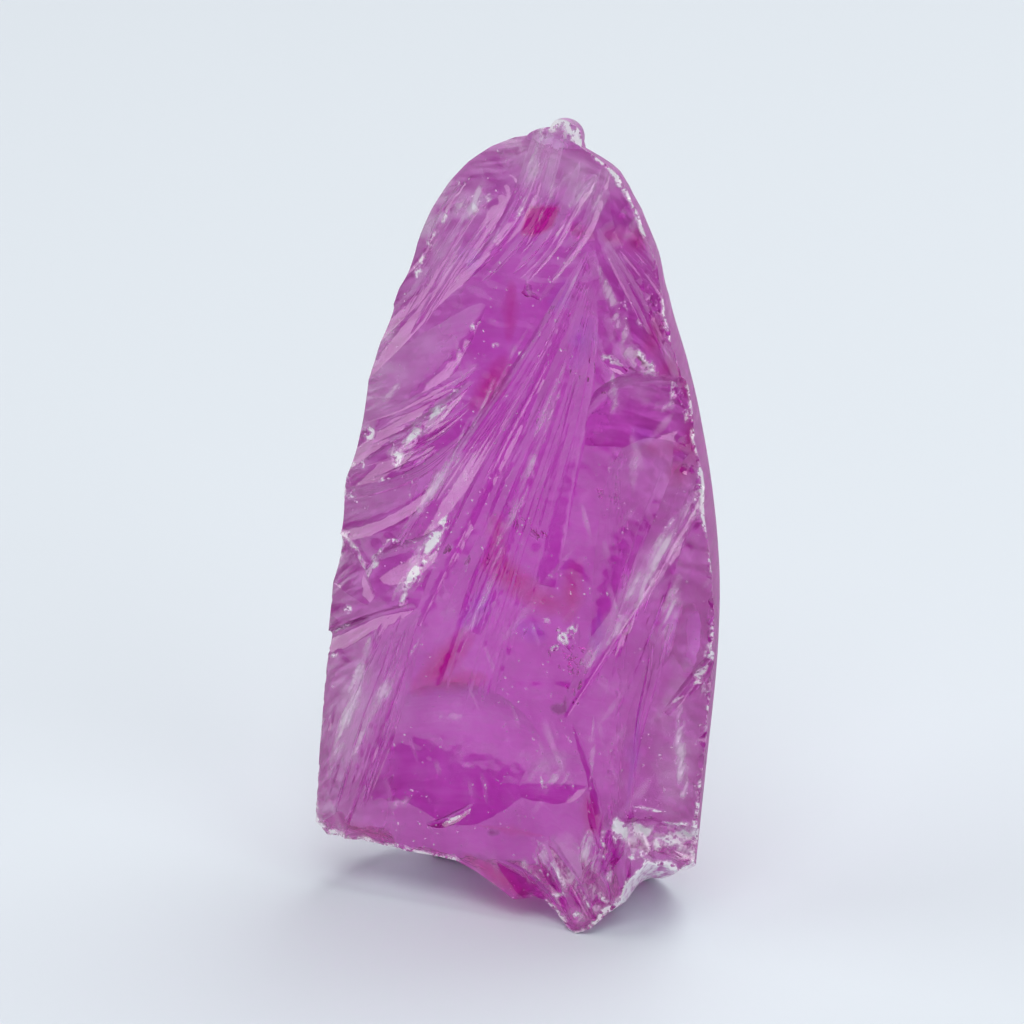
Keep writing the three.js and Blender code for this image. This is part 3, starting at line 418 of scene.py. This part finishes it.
def facet_nearness(x, z, facets):
    """The same for convex facets given by their corners."""
    inside = np.full(x.shape, -9.0)
    for corners in facets:
        middle = np.mean(corners, 0)
        here = np.full(x.shape, 9.0)
        for (ax, az), (bx, bz) in zip(corners, corners[1:] + corners[:1]):
            out = np.array([bz - az, ax - bx]) / math.hypot(bx - ax, bz - az)
            if out @ (middle - [ax, az]) > 0:
                out = -out
            here = np.minimum(here, -(x - ax) * out[0] - (z - az) * out[1])
        inside = np.maximum(inside, here)
    return inside


def rim_distance(x, z):
    """How far inside the face's own rim each point is, in mm."""
    foot = np.interp(x, [p[0] for p in FOOT_FRONT], [p[1] for p in FOOT_FRONT])
    sides = np.minimum(x - edge_x(LEFT_EDGE, z), edge_x(RIGHT_EDGE, z) - x)
    return np.minimum.reduce([sides, (z - foot) * 0.7 - 0.1, (COLUMN_TOP - z) * 0.8 + 0.2])


def relief(x, z):
    """Depth of the split face before its scars are cut."""
    depth = face_depth(x, z) + 0.05 * smooth_noise(x, z, 3.1, 1) + 0.02 * smooth_noise(x, z, 1.3, 2)
    for rx, rz, near, far, deep in RIBS:
        away = np.hypot(x - rx, z - rz)
        fade = np.clip((away - near) / 1, 0, 1) * np.clip((far - away) / 2, 0, 1)
        broken = 0.5 + 0.5 * smooth_noise(x, z, 1.9, 4)
        depth += deep * fade * broken * np.sin(5.5 * away + 2.5 * smooth_noise(x, z, 2.4, 3))
    return depth


TABLE_X, TABLE_Z = np.arange(-16, 16.1, TABLE_STEP), np.arange(-3, 52, TABLE_STEP)


def scar_table():
    x, z = np.meshgrid(TABLE_X, TABLE_Z)
    base = face_depth(x, z)
    cuts = [base + scar_hollow(x, z, where, rows) for where, rows in SCARS]
    return np.maximum.reduce([relief(x, z)] + cuts)


SCAR_TABLE = scar_table()


def scarred(x, z):
    """Depth of the face with its scars."""
    u = np.clip((x - TABLE_X[0]) / TABLE_STEP, 0, len(TABLE_X) - 1.001)
    v = np.clip((z - TABLE_Z[0]) / TABLE_STEP, 0, len(TABLE_Z) - 1.001)
    i, j = v.astype(int), u.astype(int)
    s, t = v - i, u - j
    low = SCAR_TABLE[i, j] * (1 - t) + SCAR_TABLE[i, j + 1] * t
    high = SCAR_TABLE[i + 1, j] * (1 - t) + SCAR_TABLE[i + 1, j + 1] * t
    return low * (1 - s) + high * s


def foot_height(x, y):
    """Height of the broken foot: the face's lower edge in front, the heel behind."""
    t = np.clip(y / HEEL_DEPTH, 0, 1)
    to_heel = t * t * (3 - 2 * t)
    past_heel = np.maximum(0, np.abs(x) - HEEL_HALF_WIDTH)
    heel = y * GROUND_SLOPE - 0.35 + 0.75 * past_heel + 0.25 * np.sin(1.9 * x)
    a = FOOT_ARCH
    arch = a["high"] * np.exp(-((x - a["x"]) / a["wide"]) ** 2 - ((y - a["y"]) / a["deep"]) ** 2)
    facets = 0.22 * np.sin(1.3 * x + 0.9 * y) * np.clip(y / 2, 0, 1)
    front = np.interp(x, [p[0] for p in FOOT_FRONT], [p[1] for p in FOOT_FRONT])
    return front + (heel - front) * to_heel + arch + facets


# ---------------------------------------------------------------- mesh helpers
def mesh_object(name, points, faces):
    mesh = bpy.data.meshes.new(name)
    mesh.from_pydata([tuple(p) for p in points], [], faces)
    mesh.update()
    made = bpy.data.objects.new(name, mesh)
    bpy.context.scene.collection.objects.link(made)
    return made


def block_from_sheet(name, sheet, axis, far):
    """A closed block with a sheet of points (rows, columns, xyz) as its one face."""
    rows, columns = sheet.shape[:2]
    rest = sheet.copy()
    rest[..., axis] = far
    number = np.arange(rows * columns).reshape(rows, columns)
    faces = [
        (number[i, j], number[i, j + 1], number[i + 1, j + 1], number[i + 1, j])
        for i in range(rows - 1) for j in range(columns - 1)
    ]
    rim = [number[0, j] for j in range(columns)]
    rim += [number[i, -1] for i in range(1, rows)]
    rim += [number[-1, j] for j in range(columns - 2, -1, -1)]
    rim += [number[i, 0] for i in range(rows - 2, 0, -1)]
    points = sheet.reshape(-1, 3)
    under = len(points)
    far_rim = rest.reshape(-1, 3)[rim]
    points = np.vstack([points, far_rim])
    count = len(rim)
    for k in range(count):
        n = (k + 1) % count
        faces.append((rim[n], rim[k], under + k, under + n))
    faces.append(tuple(under + k for k in range(count)))
    made = mesh_object(name, points, [tuple(int(v) for v in f) for f in faces])
    outward(made)
    return made


def outward(made):
    bm = bmesh.new()
    bm.from_mesh(made.data)
    bmesh.ops.triangulate(bm, faces=[f for f in bm.faces if len(f.verts) > 4])
    bmesh.ops.recalc_face_normals(bm, faces=bm.faces)
    bm.to_mesh(made.data)
    bm.free()


def column_block():
    """The whole rounded column before it is split, its skin grown in faint rings."""
    tall = COLUMN_SHOULDER - COLUMN_FOOT
    heights = np.linspace(COLUMN_FOOT, COLUMN_SHOULDER, int(tall / SKIN_STEP))
    crown_height = COLUMN_TOP - COLUMN_SHOULDER
    top = np.linspace(COLUMN_SHOULDER, COLUMN_TOP, 6)[1:-1]
    around = int(SKIN_GIRTH / SKIN_STEP)
    turn = np.arange(around) / around * 2 * math.pi
    points = []
    for z in heights:
        left, right = edge_x(LEFT_EDGE, z), edge_x(RIGHT_EDGE, z)
        half, middle = (right - left) / 2, (right + left) / 2
        growth = 0.1 * smooth_noise(turn * 0.8, z, 0.9, 21) + 0.2 * smooth_noise(turn * 2.2, z, 5, 22)
        reach = half - (growth + 0.3) * np.sin(turn) ** 2 * GROWTH_DEPTH
        points.append(np.stack([middle + reach * np.cos(turn),
                                reach * DEPTH_SHARE * np.sin(turn),
                                np.full(around, z)], 1))
    last = points[-1]
    middle = last.mean(0)
    for z in top:
        share = math.sqrt(max(0, 1 - ((z - COLUMN_SHOULDER) / crown_height) ** 2))
        ring = middle + (last - middle) * share
        ring[:, 2] = z
        points.append(ring)
    rings = len(points)
    points = np.vstack(points + [[[middle[0], 0, COLUMN_TOP], [0, 0, COLUMN_FOOT]]])
    faces = []
    for r in range(rings - 1):
        for i in range(around):
            n = (i + 1) % around
            faces.append((r * around + i, r * around + n, (r + 1) * around + n, (r + 1) * around + i))
    crown, foot = rings * around, rings * around + 1
    for i in range(around):
        n = (i + 1) % around
        faces.append(((rings - 1) * around + i, (rings - 1) * around + n, crown))
        faces.append((n, i, foot))
    made = mesh_object("column", points, faces)
    outward(made)
    return made


def boolean(target, other, operation):
    """Cuts or joins; a face keeps the material number of the piece it came from."""
    modifier = target.modifiers.new("cut", "BOOLEAN")
    modifier.object = other
    modifier.operation = operation
    modifier.solver = "MANIFOLD"
    modifier.material_mode = "TRANSFER"
    graph = bpy.context.evaluated_depsgraph_get()
    result = bpy.data.meshes.new_from_object(target.evaluated_get(graph))
    target.modifiers.clear()
    old = target.data
    target.data = result
    bpy.data.meshes.remove(old)
    spent = other.data
    bpy.data.objects.remove(other)
    bpy.data.meshes.remove(spent)


def ellipsoid(name, centre, half, turn=0, fine=4):
    bm = bmesh.new()
    bmesh.ops.create_icosphere(bm, subdivisions=fine, radius=1)
    mesh = bpy.data.meshes.new(name)
    bm.to_mesh(mesh)
    bm.free()
    place = Matrix.Translation(centre) @ Matrix.Rotation(math.radians(turn), 4, "Z")
    mesh.transform(place @ Matrix.Diagonal((*half, 1)))
    made = bpy.data.objects.new(name, mesh)
    bpy.context.scene.collection.objects.link(made)
    return made


# ---------------------------------------------------------------- cutters of the face
def scar_cutter(rows, deepest, per_row, sides, lip, depth_at):
    """A closed loft along the rows: the hollow it cuts behind, and a front clear of the stone."""
    line = along_rows(rows, np.linspace(0, len(rows) - 1, (len(rows) - 1) * per_row + 1))
    run = np.gradient(line[:, :2], axis=0)
    run /= np.linalg.norm(run, axis=1)[:, None]
    side = np.stack([-run[:, 1], run[:, 0]], 1)
    u = np.linspace(-1, 1, sides + 1)
    arm = np.where(u < deepest, 1 + deepest, 1 - deepest)
    profile = 1 - ((u - deepest) / arm) ** 2
    wide, deep = line[:, 2, None], line[:, 3, None]
    x = line[:, 0, None] + side[:, 0, None] * wide * u
    z = line[:, 1, None] + side[:, 1, None] * wide * u
    y = depth_at(x, z) + (deep + lip) * profile - lip
    front = [1.1, -1.1]
    x = np.hstack([x, line[:, 0, None] + side[:, 0, None] * wide * front])
    z = np.hstack([z, line[:, 1, None] + side[:, 1, None] * wide * front])
    y = np.hstack([y, np.full((len(line), 2), -4.0)])
    points = np.stack([x, y, z], -1)
    count = sides + 3
    rings = len(line)
    k = np.arange(rings * count).reshape(rings, count)
    a, b = k[:-1], np.roll(k, -1, 1)[:-1]
    c, d = np.roll(k, -1, 1)[1:], k[1:]
    faces = np.stack([a, b, c, d], -1).reshape(-1, 4).tolist()
    faces += [k[0, ::-1].tolist(), k[-1].tolist()]
    reach = np.stack([line[:, 0], line[:, 1], line[:, 2] * 1.15], 1)
    return points.reshape(-1, 3), faces, reach


def ball(subdivisions):
    bm = bmesh.new()
    bmesh.ops.create_icosphere(bm, subdivisions=subdivisions, radius=1)
    points = np.array([v.co[:] for v in bm.verts])
    faces = [[v.index for v in f.verts] for f in bm.faces]
    bm.free()
    return points, faces


ICO_POINTS, ICO_FACES = ball(1)
LENS_POINTS, LENS_FACES = ball(3)


def edge_bites(rng):
    """Places of the bites along the face's rim: X, height, half sizes, how far out of the face."""
    made = []
    edges = ((RIGHT_EDGE, 0.3, 54, 6.5, 47.8, 0.4), (LEFT_EDGE, -0.3, 50, 4, 47.8, 0.36))
    for table, out, count, low, high, size in edges:
        for z in np.sort(rng.uniform(low, high, count)):
            r = size * rng.uniform(0.4, 1.6)
            x = float(edge_x(table, z)) + out * r
            made.append((x, z, r, r * 0.9, r * rng.uniform(1, 1.8), 0.3 * r))
    for z in np.sort(rng.uniform(27, 45, 26)):
        r = rng.uniform(0.16, 0.36)
        made.append((float(edge_x(RIGHT_EDGE, z)) - rng.uniform(0.4, 1.1), z, r, r, r * 1.3, 0.1 * r))
    xs, zs = [p[0] for p in FOOT_FRONT], [p[1] for p in FOOT_FRONT]
    for x in np.sort(rng.uniform(-12.4, 11.8, 40)):
        r = 0.38 * rng.uniform(0.4, 1.5)
        z = float(np.interp(x, xs, zs)) - 0.2 * r
        made.append((x, z, r * rng.uniform(1, 1.6), r * 0.9, r, 0.3 * r))
    return made


def crush_bites(rng):
    """Places of the bites packed into the crushed patches."""
    made = []
    for px, pz, wide, tall, turn, strength in CRUSHED:
        a = math.radians(turn)
        for _ in range(int(10 * wide * tall * strength)):
            u, v = rng.normal(0, 0.5, 2) * [wide, tall]
            x = px + u * math.cos(a) - v * math.sin(a)
            z = pz + v * math.cos(a) + u * math.sin(a)
            r = rng.uniform(0.12, 0.36)
            across, up = rng.uniform(0.8, 1.8, 2)
            made.append((x, z, r * across, r * 0.8, r * up, r * rng.uniform(0.35, 0.7)))
    return made


def bite_cutters():
    """Small many-sided bites at their places on the face."""
    rng = np.random.default_rng(41)
    places = np.array(edge_bites(rng) + crush_bites(rng))
    x, z = places[:, 0], places[:, 1]
    depths = scarred(x, z) - places[:, 5]
    made = []
    for depth, (px, pz, *half, _) in zip(depths, places):
        turn = np.array(Euler(rng.uniform(0, 6.28, 3)).to_matrix())
        points = (ICO_POINTS * rng.uniform(0.8, 1.15, (len(ICO_POINTS), 1))) @ turn.T * half
        reach = np.array([[px, pz, 1.15 * max(half[0], half[2])]])
        made.append((points + [px, depth, pz], ICO_FACES, reach))
    return made


def apart(one, other):
    """Whether two cutters, given as rows of [X, height, radius], keep clear of each other."""
    gap = np.hypot(one[:, None, 0] - other[None, :, 0], one[:, None, 1] - other[None, :, 1])
    return (gap > one[:, None, 2] + other[None, :, 2]).all()


def batches(cutters):
    """Cutters gathered into as few meshes as keep them clear of each other."""
    groups = []
    for cutter in cutters:
        for group in groups:
            if all(apart(cutter[2], held[2]) for held in group):
                group.append(cutter)
                break
        else:
            groups.append([cutter])
    meshes = []
    for group in groups:
        points, faces, start = [], [], 0
        for corners, sides, _ in group:
            points.append(corners)
            faces += [tuple(int(i) + start for i in side) for side in sides]
            start += len(corners)
        made = mesh_object("cutter", np.vstack(points), faces)
        outward(made)
        meshes.append(made)
    return meshes


def face_cutters():
    """Everything that is cut into the split face, from broad scars to small bites."""
    broad = [scar_cutter(rows, where, 7, 12, SCAR_LIP, face_depth) for where, rows in SCARS]
    flakes = [scar_cutter(rows, where, 4, 6, FLAKE_LIP, scarred) for where, rows in FLAKES]
    fine = [scar_cutter(rows, where, 3, 4, STROKE_LIP, scarred) for where, rows in FINE]
    return batches(broad) + batches(flakes) + batches(fine) + batches(bite_cutters())


def lens_cutter(centre, half, turn, rng):
    """A thin gap with a wandering outline and a slight buckle."""
    angle = np.arctan2(LENS_POINTS[:, 1], LENS_POINTS[:, 0])
    phase = rng.uniform(0, 6.28, 4)
    stretch = 1 + 0.25 * np.sin(2 * angle + phase[0]) + 0.2 * np.sin(3 * angle + phase[1])
    stretch += 0.12 * np.sin(7 * angle + phase[2])
    points = LENS_POINTS * half
    points[:, :2] *= stretch[:, None]
    points[:, 2] += 0.12 * half[0] * np.sin(2.2 * points[:, 0] / half[0] + phase[3])
    points = points @ np.array(Euler(turn).to_matrix()).T
    return points + centre, LENS_FACES, np.array([[centre[0], centre[2], 1.5 * max(half)]])


SCATTERED_CRACKS = 8
CLUSTERED_CRACKS = 26


def inner_cracks():
    """Thin gaps inside the stone: a few large ones, and a cluster behind the crushed spot."""
    rng = np.random.default_rng(47)
    made = []
    for _ in range(SCATTERED_CRACKS):
        z = rng.uniform(6, 44)
        room = float(edge_x(RIGHT_EDGE, z) - edge_x(LEFT_EDGE, z)) / 2
        x = rng.uniform(-0.6, 0.6) * room
        y = rng.uniform(0.22, 0.55) * room
        size = rng.uniform(0.2, 0.7)
        turn = rng.uniform(-0.9, 0.9, 3) + [1.57, 0, 0]
        half = [size, size * rng.uniform(0.4, 1.4), 0.03]
        made.append(lens_cutter([x, y, z], half, turn, rng))
    for _ in range(CLUSTERED_CRACKS):
        x, y, z = rng.normal([3.4, 1.7, 17], [0.8, 0.3, 1.2])
        size = rng.uniform(0.12, 0.34)
        turn = rng.uniform(-3, 3, 3)
        half = [size, size * rng.uniform(0.5, 1), 0.04]
        made.append(lens_cutter([x, max(y, 1.2), z], half, turn, rng))
    return batches(made)


# ---------------------------------------------------------------- the stone
def face_block():
    """What lies in front of the split face."""
    xs = np.arange(-14.2, 14.2, FACE_STEP)
    zs = np.arange(-6.5, 52, FACE_STEP)
    x, z = np.meshgrid(xs, zs)
    return block_from_sheet("face", np.stack([x, relief(x, z), z], -1), 1, -30)


def foot_block():
    """What lies below the broken foot."""
    xs = np.arange(-15, 15, FOOT_STEP)
    ys = np.arange(-4, 13.5, FOOT_STEP)
    x, y = np.meshgrid(xs, ys)
    return block_from_sheet("foot", np.stack([x, y, foot_height(x, y)], -1), 2, -30)


def shaped_stone():
    """The stone upright in millimetres; each kind of break leaves its own material number."""
    stone = column_block()
    stone.data.materials.append(bpy.data.materials.new("grown"))
    for centre, half, turn in NUB:
        boolean(stone, ellipsoid("lump", centre, half, turn), "UNION")
    blocks = [face_block()] + face_cutters() + inner_cracks() + [foot_block()]
    for number, block in enumerate(blocks):
        name = "foot" if block is blocks[-1] else f"broken_{number}"
        block.data.materials.append(bpy.data.materials.new(name))
        boolean(stone, block, "DIFFERENCE")
    for centre, half in SKIN_BITES:
        boolean(stone, ellipsoid("bite", centre, half), "DIFFERENCE")
    return stone


def stand(stone):
    """Leans the stone back, blunts its foot, and sets it in the solid's box, in metres."""
    mesh = stone.data
    points = np.empty(len(mesh.vertices) * 3)
    mesh.vertices.foreach_get("co", points)
    points = points.reshape(-1, 3)
    lean = math.radians(LEAN)
    x, y, z = points.T
    points = np.stack([x, y * math.cos(lean) + z * math.sin(lean),
                       z * math.cos(lean) - y * math.sin(lean)], 1)
    points[:, 2] = np.maximum(points[:, 2], FOOT_WEAR)
    low, high = points.min(0), points.max(0)
    points -= [(low[0] + high[0]) / 2, (low[1] + high[1]) / 2, FOOT_WEAR]
    points *= 0.001
    low, high = (np.array(c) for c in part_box("zircon"))
    points = np.clip(points, low, high)
    mesh.vertices.foreach_set("co", points.ravel())
    mesh.update()


def face_numbers(mesh, name):
    """One whole number of each face, such as its material's."""
    values = np.zeros(len(mesh.polygons), int)
    mesh.polygons.foreach_get(name, values)
    return values


def sharpen(stone):
    """Smooth within each scar, crisp where one meets another."""
    mesh = stone.data
    mesh.shade_smooth()
    mesh.set_sharp_from_angle(angle=math.radians(CRISP_ANGLE))
    scar = np.repeat(face_numbers(mesh, "material_index"), face_numbers(mesh, "loop_total"))
    edge = np.zeros(len(mesh.loops), int)
    mesh.loops.foreach_get("edge_index", edge)
    low, high = np.full(len(mesh.edges), 10**6), np.full(len(mesh.edges), -1)
    np.minimum.at(low, edge, scar)
    np.maximum.at(high, edge, scar)
    sharp = np.zeros(len(mesh.edges), bool)
    mesh.edges.foreach_get("use_edge_sharp", sharp)
    mesh.edges.foreach_set("use_edge_sharp", sharp | (low != high))


def mark_skin(stone):
    """Keeps what lies where as attributes, then leaves the stone one material."""
    mesh = stone.data
    names = [m.name if m else "grown" for m in mesh.materials]
    grown = np.array([name == "grown" for name in names] or [True])
    under = np.array([name == "foot" for name in names] or [True])
    number, corners = face_numbers(mesh, "material_index"), face_numbers(mesh, "loop_total")
    for name, faces in (("skin", grown), ("under", under)):
        made = mesh.attributes.new(name, "FLOAT", "CORNER")
        made.data.foreach_set("value", np.repeat(faces[number], corners).astype(np.float32))
    place = np.zeros(len(mesh.vertices) * 3)
    mesh.vertices.foreach_get("co", place)
    x, _, z = place.reshape(-1, 3).T
    rim = 0.1 + 0.25 * smooth_noise(x, z, 1.7, 8) - rim_distance(x, z)
    fields = {
        # crushed white and edge chips, with the sparkle cluster's painted glints
        "crushed": np.maximum(nearness(x, z, CRUSHED), rim),
        # painted shade: deeper red of long light paths inside the stone
        "crimson": np.maximum(nearness(x, z, CRIMSON), 4 * facet_nearness(x, z, CRIMSON_FACETS)),
        # white streaks, partly painted reflection
        "streak": nearness(x, z, STREAKS, 2),
        "violet": nearness(x, z, VIOLET, 2),
        "dark": nearness(x, z, DARK),
        # painted reflection haze
        "painted_haze": nearness(x, z, PAINTED_HAZE, 2),
    }
    for name, values in fields.items():
        made = mesh.attributes.new(name, "FLOAT", "POINT")
        made.data.foreach_set("value", values.astype(np.float32))
    mesh.materials.clear()


stone = shaped_stone()
sharpen(stone)
mark_skin(stone)
stand(stone)
stone.name = "rough_zircon"

# ---------------------------------------------------------------- materials
crystal = bpy.data.materials.new("magenta_crystal")
crystal.use_nodes = True
nodes, links = crystal.node_tree.nodes, crystal.node_tree.links
shader = nodes["Principled BSDF"]


def attribute(name):
    node = nodes.new("ShaderNodeAttribute")
    node.attribute_name = name
    return node.outputs["Fac"]


def noise(scale, detail, roughness=0.5, long=1, turn=0):
    """Noise from 0 to 1: bumps one over scale metres across, drawn out long and turned over."""
    place = nodes.new("ShaderNodeTexCoord")
    laid = nodes.new("ShaderNodeMapping")
    laid.inputs["Rotation"].default_value = (0, math.radians(turn), 0)
    laid.vector_type = "TEXTURE"
    laid.inputs["Scale"].default_value = (1, 1, long)
    links.new(place.outputs["Object"], laid.inputs["Vector"])
    node = nodes.new("ShaderNodeTexNoise")
    node.inputs["Scale"].default_value = scale
    node.inputs["Detail"].default_value = detail
    node.inputs["Roughness"].default_value = roughness
    links.new(laid.outputs["Vector"], node.inputs["Vector"])
    return node.outputs["Fac"]


def remap(value, low, high, to_low, to_high):
    node = nodes.new("ShaderNodeMapRange")
    links.new(value, node.inputs["Value"])
    names = ("From Min", "From Max", "To Min", "To Max")
    for name, number in zip(names, (low, high, to_low, to_high)):
        node.inputs[name].default_value = number
    return node.outputs["Result"]


def arithmetic(operation, a, b):
    node = nodes.new("ShaderNodeMath")
    node.operation = operation
    for socket, value in zip(node.inputs, (a, b)):
        if isinstance(value, (int, float)):
            socket.default_value = value
        else:
            links.new(value, socket)
    return node.outputs["Value"]


def blend_colours(share, a, b):
    node = nodes.new("ShaderNodeMix")
    node.data_type = "RGBA"
    links.new(share, node.inputs["Factor"])
    for socket, value in ((node.inputs[6], a), (node.inputs[7], b)):
        if isinstance(value, tuple):
            socket.default_value = (*value, 1)
        else:
            links.new(value, socket)
    return node.outputs[2]


skin = attribute("skin")
broken = arithmetic("SUBTRACT", 1, skin)
fine_grain = noise(2000, 2, 0.7)
grain = noise(900, 3, 0.65)
swirls = noise(260, 2, 0.6)


def patch(name, ragged, soft):
    """Share of a patch kind, its outline broken up by the grain."""
    wander = remap(grain, 0, 1, -ragged, ragged)
    edge = arithmetic("ADD", attribute(name), wander)
    return arithmetic("MULTIPLY", remap(edge, -soft, soft, 0, 1), broken)


crumbs = remap(fine_grain, 0.4, 0.52, 0, 1)
# painted glints: tiny white specks scattered over the breaks, added to the crushed white below
painted_glints = remap(noise(4200, 1), 0.7, 0.76, 0, 0.8)
painted_glints = arithmetic("MULTIPLY", painted_glints, remap(swirls, 0.42, 0.6, 0, 1))
# crushed white, with the sparkle cluster's painted glints
frost_and_glints = arithmetic("MULTIPLY", patch("crushed", 0.5, 0.12), crumbs)
frost_and_glints = arithmetic("MAXIMUM", frost_and_glints, arithmetic("MULTIPLY", painted_glints, broken))
hairs = remap(noise(2600, 1, 0.6, 12, 24), 0.4, 0.62, 0.15, 1)
# white streaks: partly fine cracks, partly painted reflection off their ridges
streaks = arithmetic("MULTIPLY", patch("streak", 0.5, 0.25), hairs)
for scale, long, turn in ((900, 10, 34), (1000, 8, -22)):
    veil = remap(noise(scale, 1, 0.6, long, turn), 0.64, 0.78, 0, 0.5)
    streaks = arithmetic("MAXIMUM", streaks, arithmetic("MULTIPLY", veil, broken))
# painted shade: deeper red where long light paths inside the stone would deepen the colour
crimson = patch("crimson", 0.35, 0.5)
violet = patch("violet", 0.8, 0.6)
dark = patch("dark", 0.3, 0.1)
# painted reflection haze on the breaks
painted_haze = patch("painted_haze", 0.9, 0.7)
clouds = remap(swirls, 0.4, 0.62, 0, 1)
wisps = remap(grain, 0.52, 0.7, 0, 1)
rings = remap(noise(260, 1, 0.7, 0.12), 0.36, 0.64, 0, 1)
clouds = arithmetic("ADD", arithmetic("MULTIPLY", clouds, remap(skin, 0, 1, 1, 0.15)),
                    arithmetic("MULTIPLY", arithmetic("MULTIPLY", rings, skin), 0.4))
body = blend_colours(clouds, (1, 0.92, 1), (0.8, 0.3, 0.76))
body = blend_colours(violet, body, (0.68, 0.42, 1))
# painted shade of long light paths, blended in as deep red
body = blend_colours(crimson, body, (0.76, 0.004, 0.32))
body = blend_colours(dark, body, (0.3, 0.02, 0.25))
# white of the streaks, partly painted reflection
body = blend_colours(arithmetic("MULTIPLY", streaks, 0.8), body, (1, 0.92, 1))
links.new(blend_colours(frost_and_glints, body, (1, 0.95, 1)), shader.inputs["Base Color"])
gloss = arithmetic("ADD", remap(skin, 0, 1, 0.05, 0.95), arithmetic("MULTIPLY", frost_and_glints, 0.3))
gloss = arithmetic("SUBTRACT", gloss, arithmetic("MULTIPLY", arithmetic("MULTIPLY", rings, skin), 0.3))
gloss = arithmetic("ADD", gloss, arithmetic("MULTIPLY", attribute("under"), 0.45))
links.new(arithmetic("ADD", gloss, arithmetic("MULTIPLY", wisps, 0.1)), shader.inputs["Roughness"])
# milky white of crushed spots, streaks, wisps, the underside and the skin, with painted glints and
# painted reflection haze added
milk_and_painted_haze = arithmetic("ADD", arithmetic("MULTIPLY", frost_and_glints, 0.9), arithmetic("MULTIPLY", painted_haze, 0.18))
for share, white in ((streaks, 0.45), (wisps, 0.06), (attribute("under"), 0.2), (skin, 0.12)):
    milk_and_painted_haze = arithmetic("ADD", milk_and_painted_haze, arithmetic("MULTIPLY", share, white))
links.new(arithmetic("SUBTRACT", 1, milk_and_painted_haze), shader.inputs["Transmission Weight"])
shader.inputs["IOR"].default_value = 1.8
bump = nodes.new("ShaderNodeBump")
bump.inputs["Strength"].default_value = 0.12
bump.inputs["Distance"].default_value = 0.0002
links.new(noise(1500, 0), bump.inputs["Height"])
links.new(bump.outputs["Normal"], shader.inputs["Normal"])
absorb = nodes.new("ShaderNodeVolumeAbsorption")
absorb.inputs["Color"].default_value = (0.915, 0.07, 0.87, 1)
absorb.inputs["Density"].default_value = 200
links.new(absorb.outputs["Volume"], nodes["Material Output"].inputs["Volume"])
stone.data.materials.clear()
stone.data.materials.append(crystal)

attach(stone, "root")
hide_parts("zircon")

# ---------------------------------------------------------------- floor, light and camera
FLOOR_REACH = 2
FLOOR_GAP = -2e-5  # just under the stone, so that the two don't share a plane
floor = mesh_object(
    "floor",
    [(x, y, FLOOR_GAP) for x, y in ((-FLOOR_REACH, -FLOOR_REACH), (FLOOR_REACH, -FLOOR_REACH),
                                    (FLOOR_REACH, FLOOR_REACH), (-FLOOR_REACH, FLOOR_REACH))],
    [(0, 1, 2, 3)],
)
floor_material = bpy.data.materials.new("pale_floor")
floor_material.use_nodes = True
floor_shader = floor_material.node_tree.nodes["Principled BSDF"]
floor_shader.inputs["Base Color"].default_value = (0.73, 0.78, 0.83, 1)
floor_shader.inputs["Roughness"].default_value = 0.8
floor.data.materials.append(floor_material)

bpy.context.scene.view_settings.view_transform = "Standard"
LIGHT_BOUNCES = 8
bpy.context.scene.cycles.glossy_bounces = LIGHT_BOUNCES
bpy.context.scene.cycles.transmission_bounces = LIGHT_BOUNCES
bpy.context.scene.cycles.max_bounces = LIGHT_BOUNCES
world = bpy.data.worlds.new("studio")
bpy.context.scene.world = world
world.use_nodes = True
sky = world.node_tree.nodes["Background"]
sky.inputs["Color"].default_value = (0.86, 0.93, 1.0, 1)
sky.inputs["Strength"].default_value = 0.08


def direction(azimuth, elevation):
    """Unit vector from the stone: azimuth from the front towards the right, and elevation."""
    a, e = math.radians(azimuth), math.radians(elevation)
    return np.array([math.sin(a) * math.cos(e), -math.cos(a) * math.cos(e), math.sin(e)])


def area_light(name, azimuth, elevation, distance, size, watts, colour):
    lamp = bpy.data.lights.new(name, "AREA")
    lamp.size = size
    lamp.energy = watts
    lamp.color = colour
    made = bpy.data.objects.new(name, lamp)
    bpy.context.scene.collection.objects.link(made)
    away = direction(azimuth, elevation)
    made.location = away * distance + [0, 0, LIGHT_AIM]
    made.rotation_euler = Vector(away).to_track_quat("Z", "Y").to_euler()


LIGHT_AIM = 0.025  # height that the lights point at
area_light("left", -74, 26, 0.9, 0.7, 2.6, (1, 0.99, 0.98))
area_light("top", 10, 60, 0.9, 0.5, 2.5, (0.98, 0.99, 1))
area_light("right", 62, 30, 0.9, 0.5, 1.4, (0.97, 0.98, 1))
area_light("back", 158, 64, 0.9, 0.8, 6.6, (1, 1, 1))

camera = bpy.data.objects.new("camera", bpy.data.cameras.new("camera"))
bpy.context.scene.collection.objects.link(camera)
bpy.context.scene.camera = camera
camera.data.lens = 167.7
camera.data.sensor_width = 36
CAMERA_AIM = np.array([-0.00095, -0.00151, 0.02465])
CAMERA_DISTANCE = 0.29
from_stone = direction(18, 22)
camera.location = CAMERA_AIM + from_stone * CAMERA_DISTANCE
camera.rotation_euler = Vector(from_stone).to_track_quat("Z", "Y").to_euler()
camera.data.clip_start = 0.01
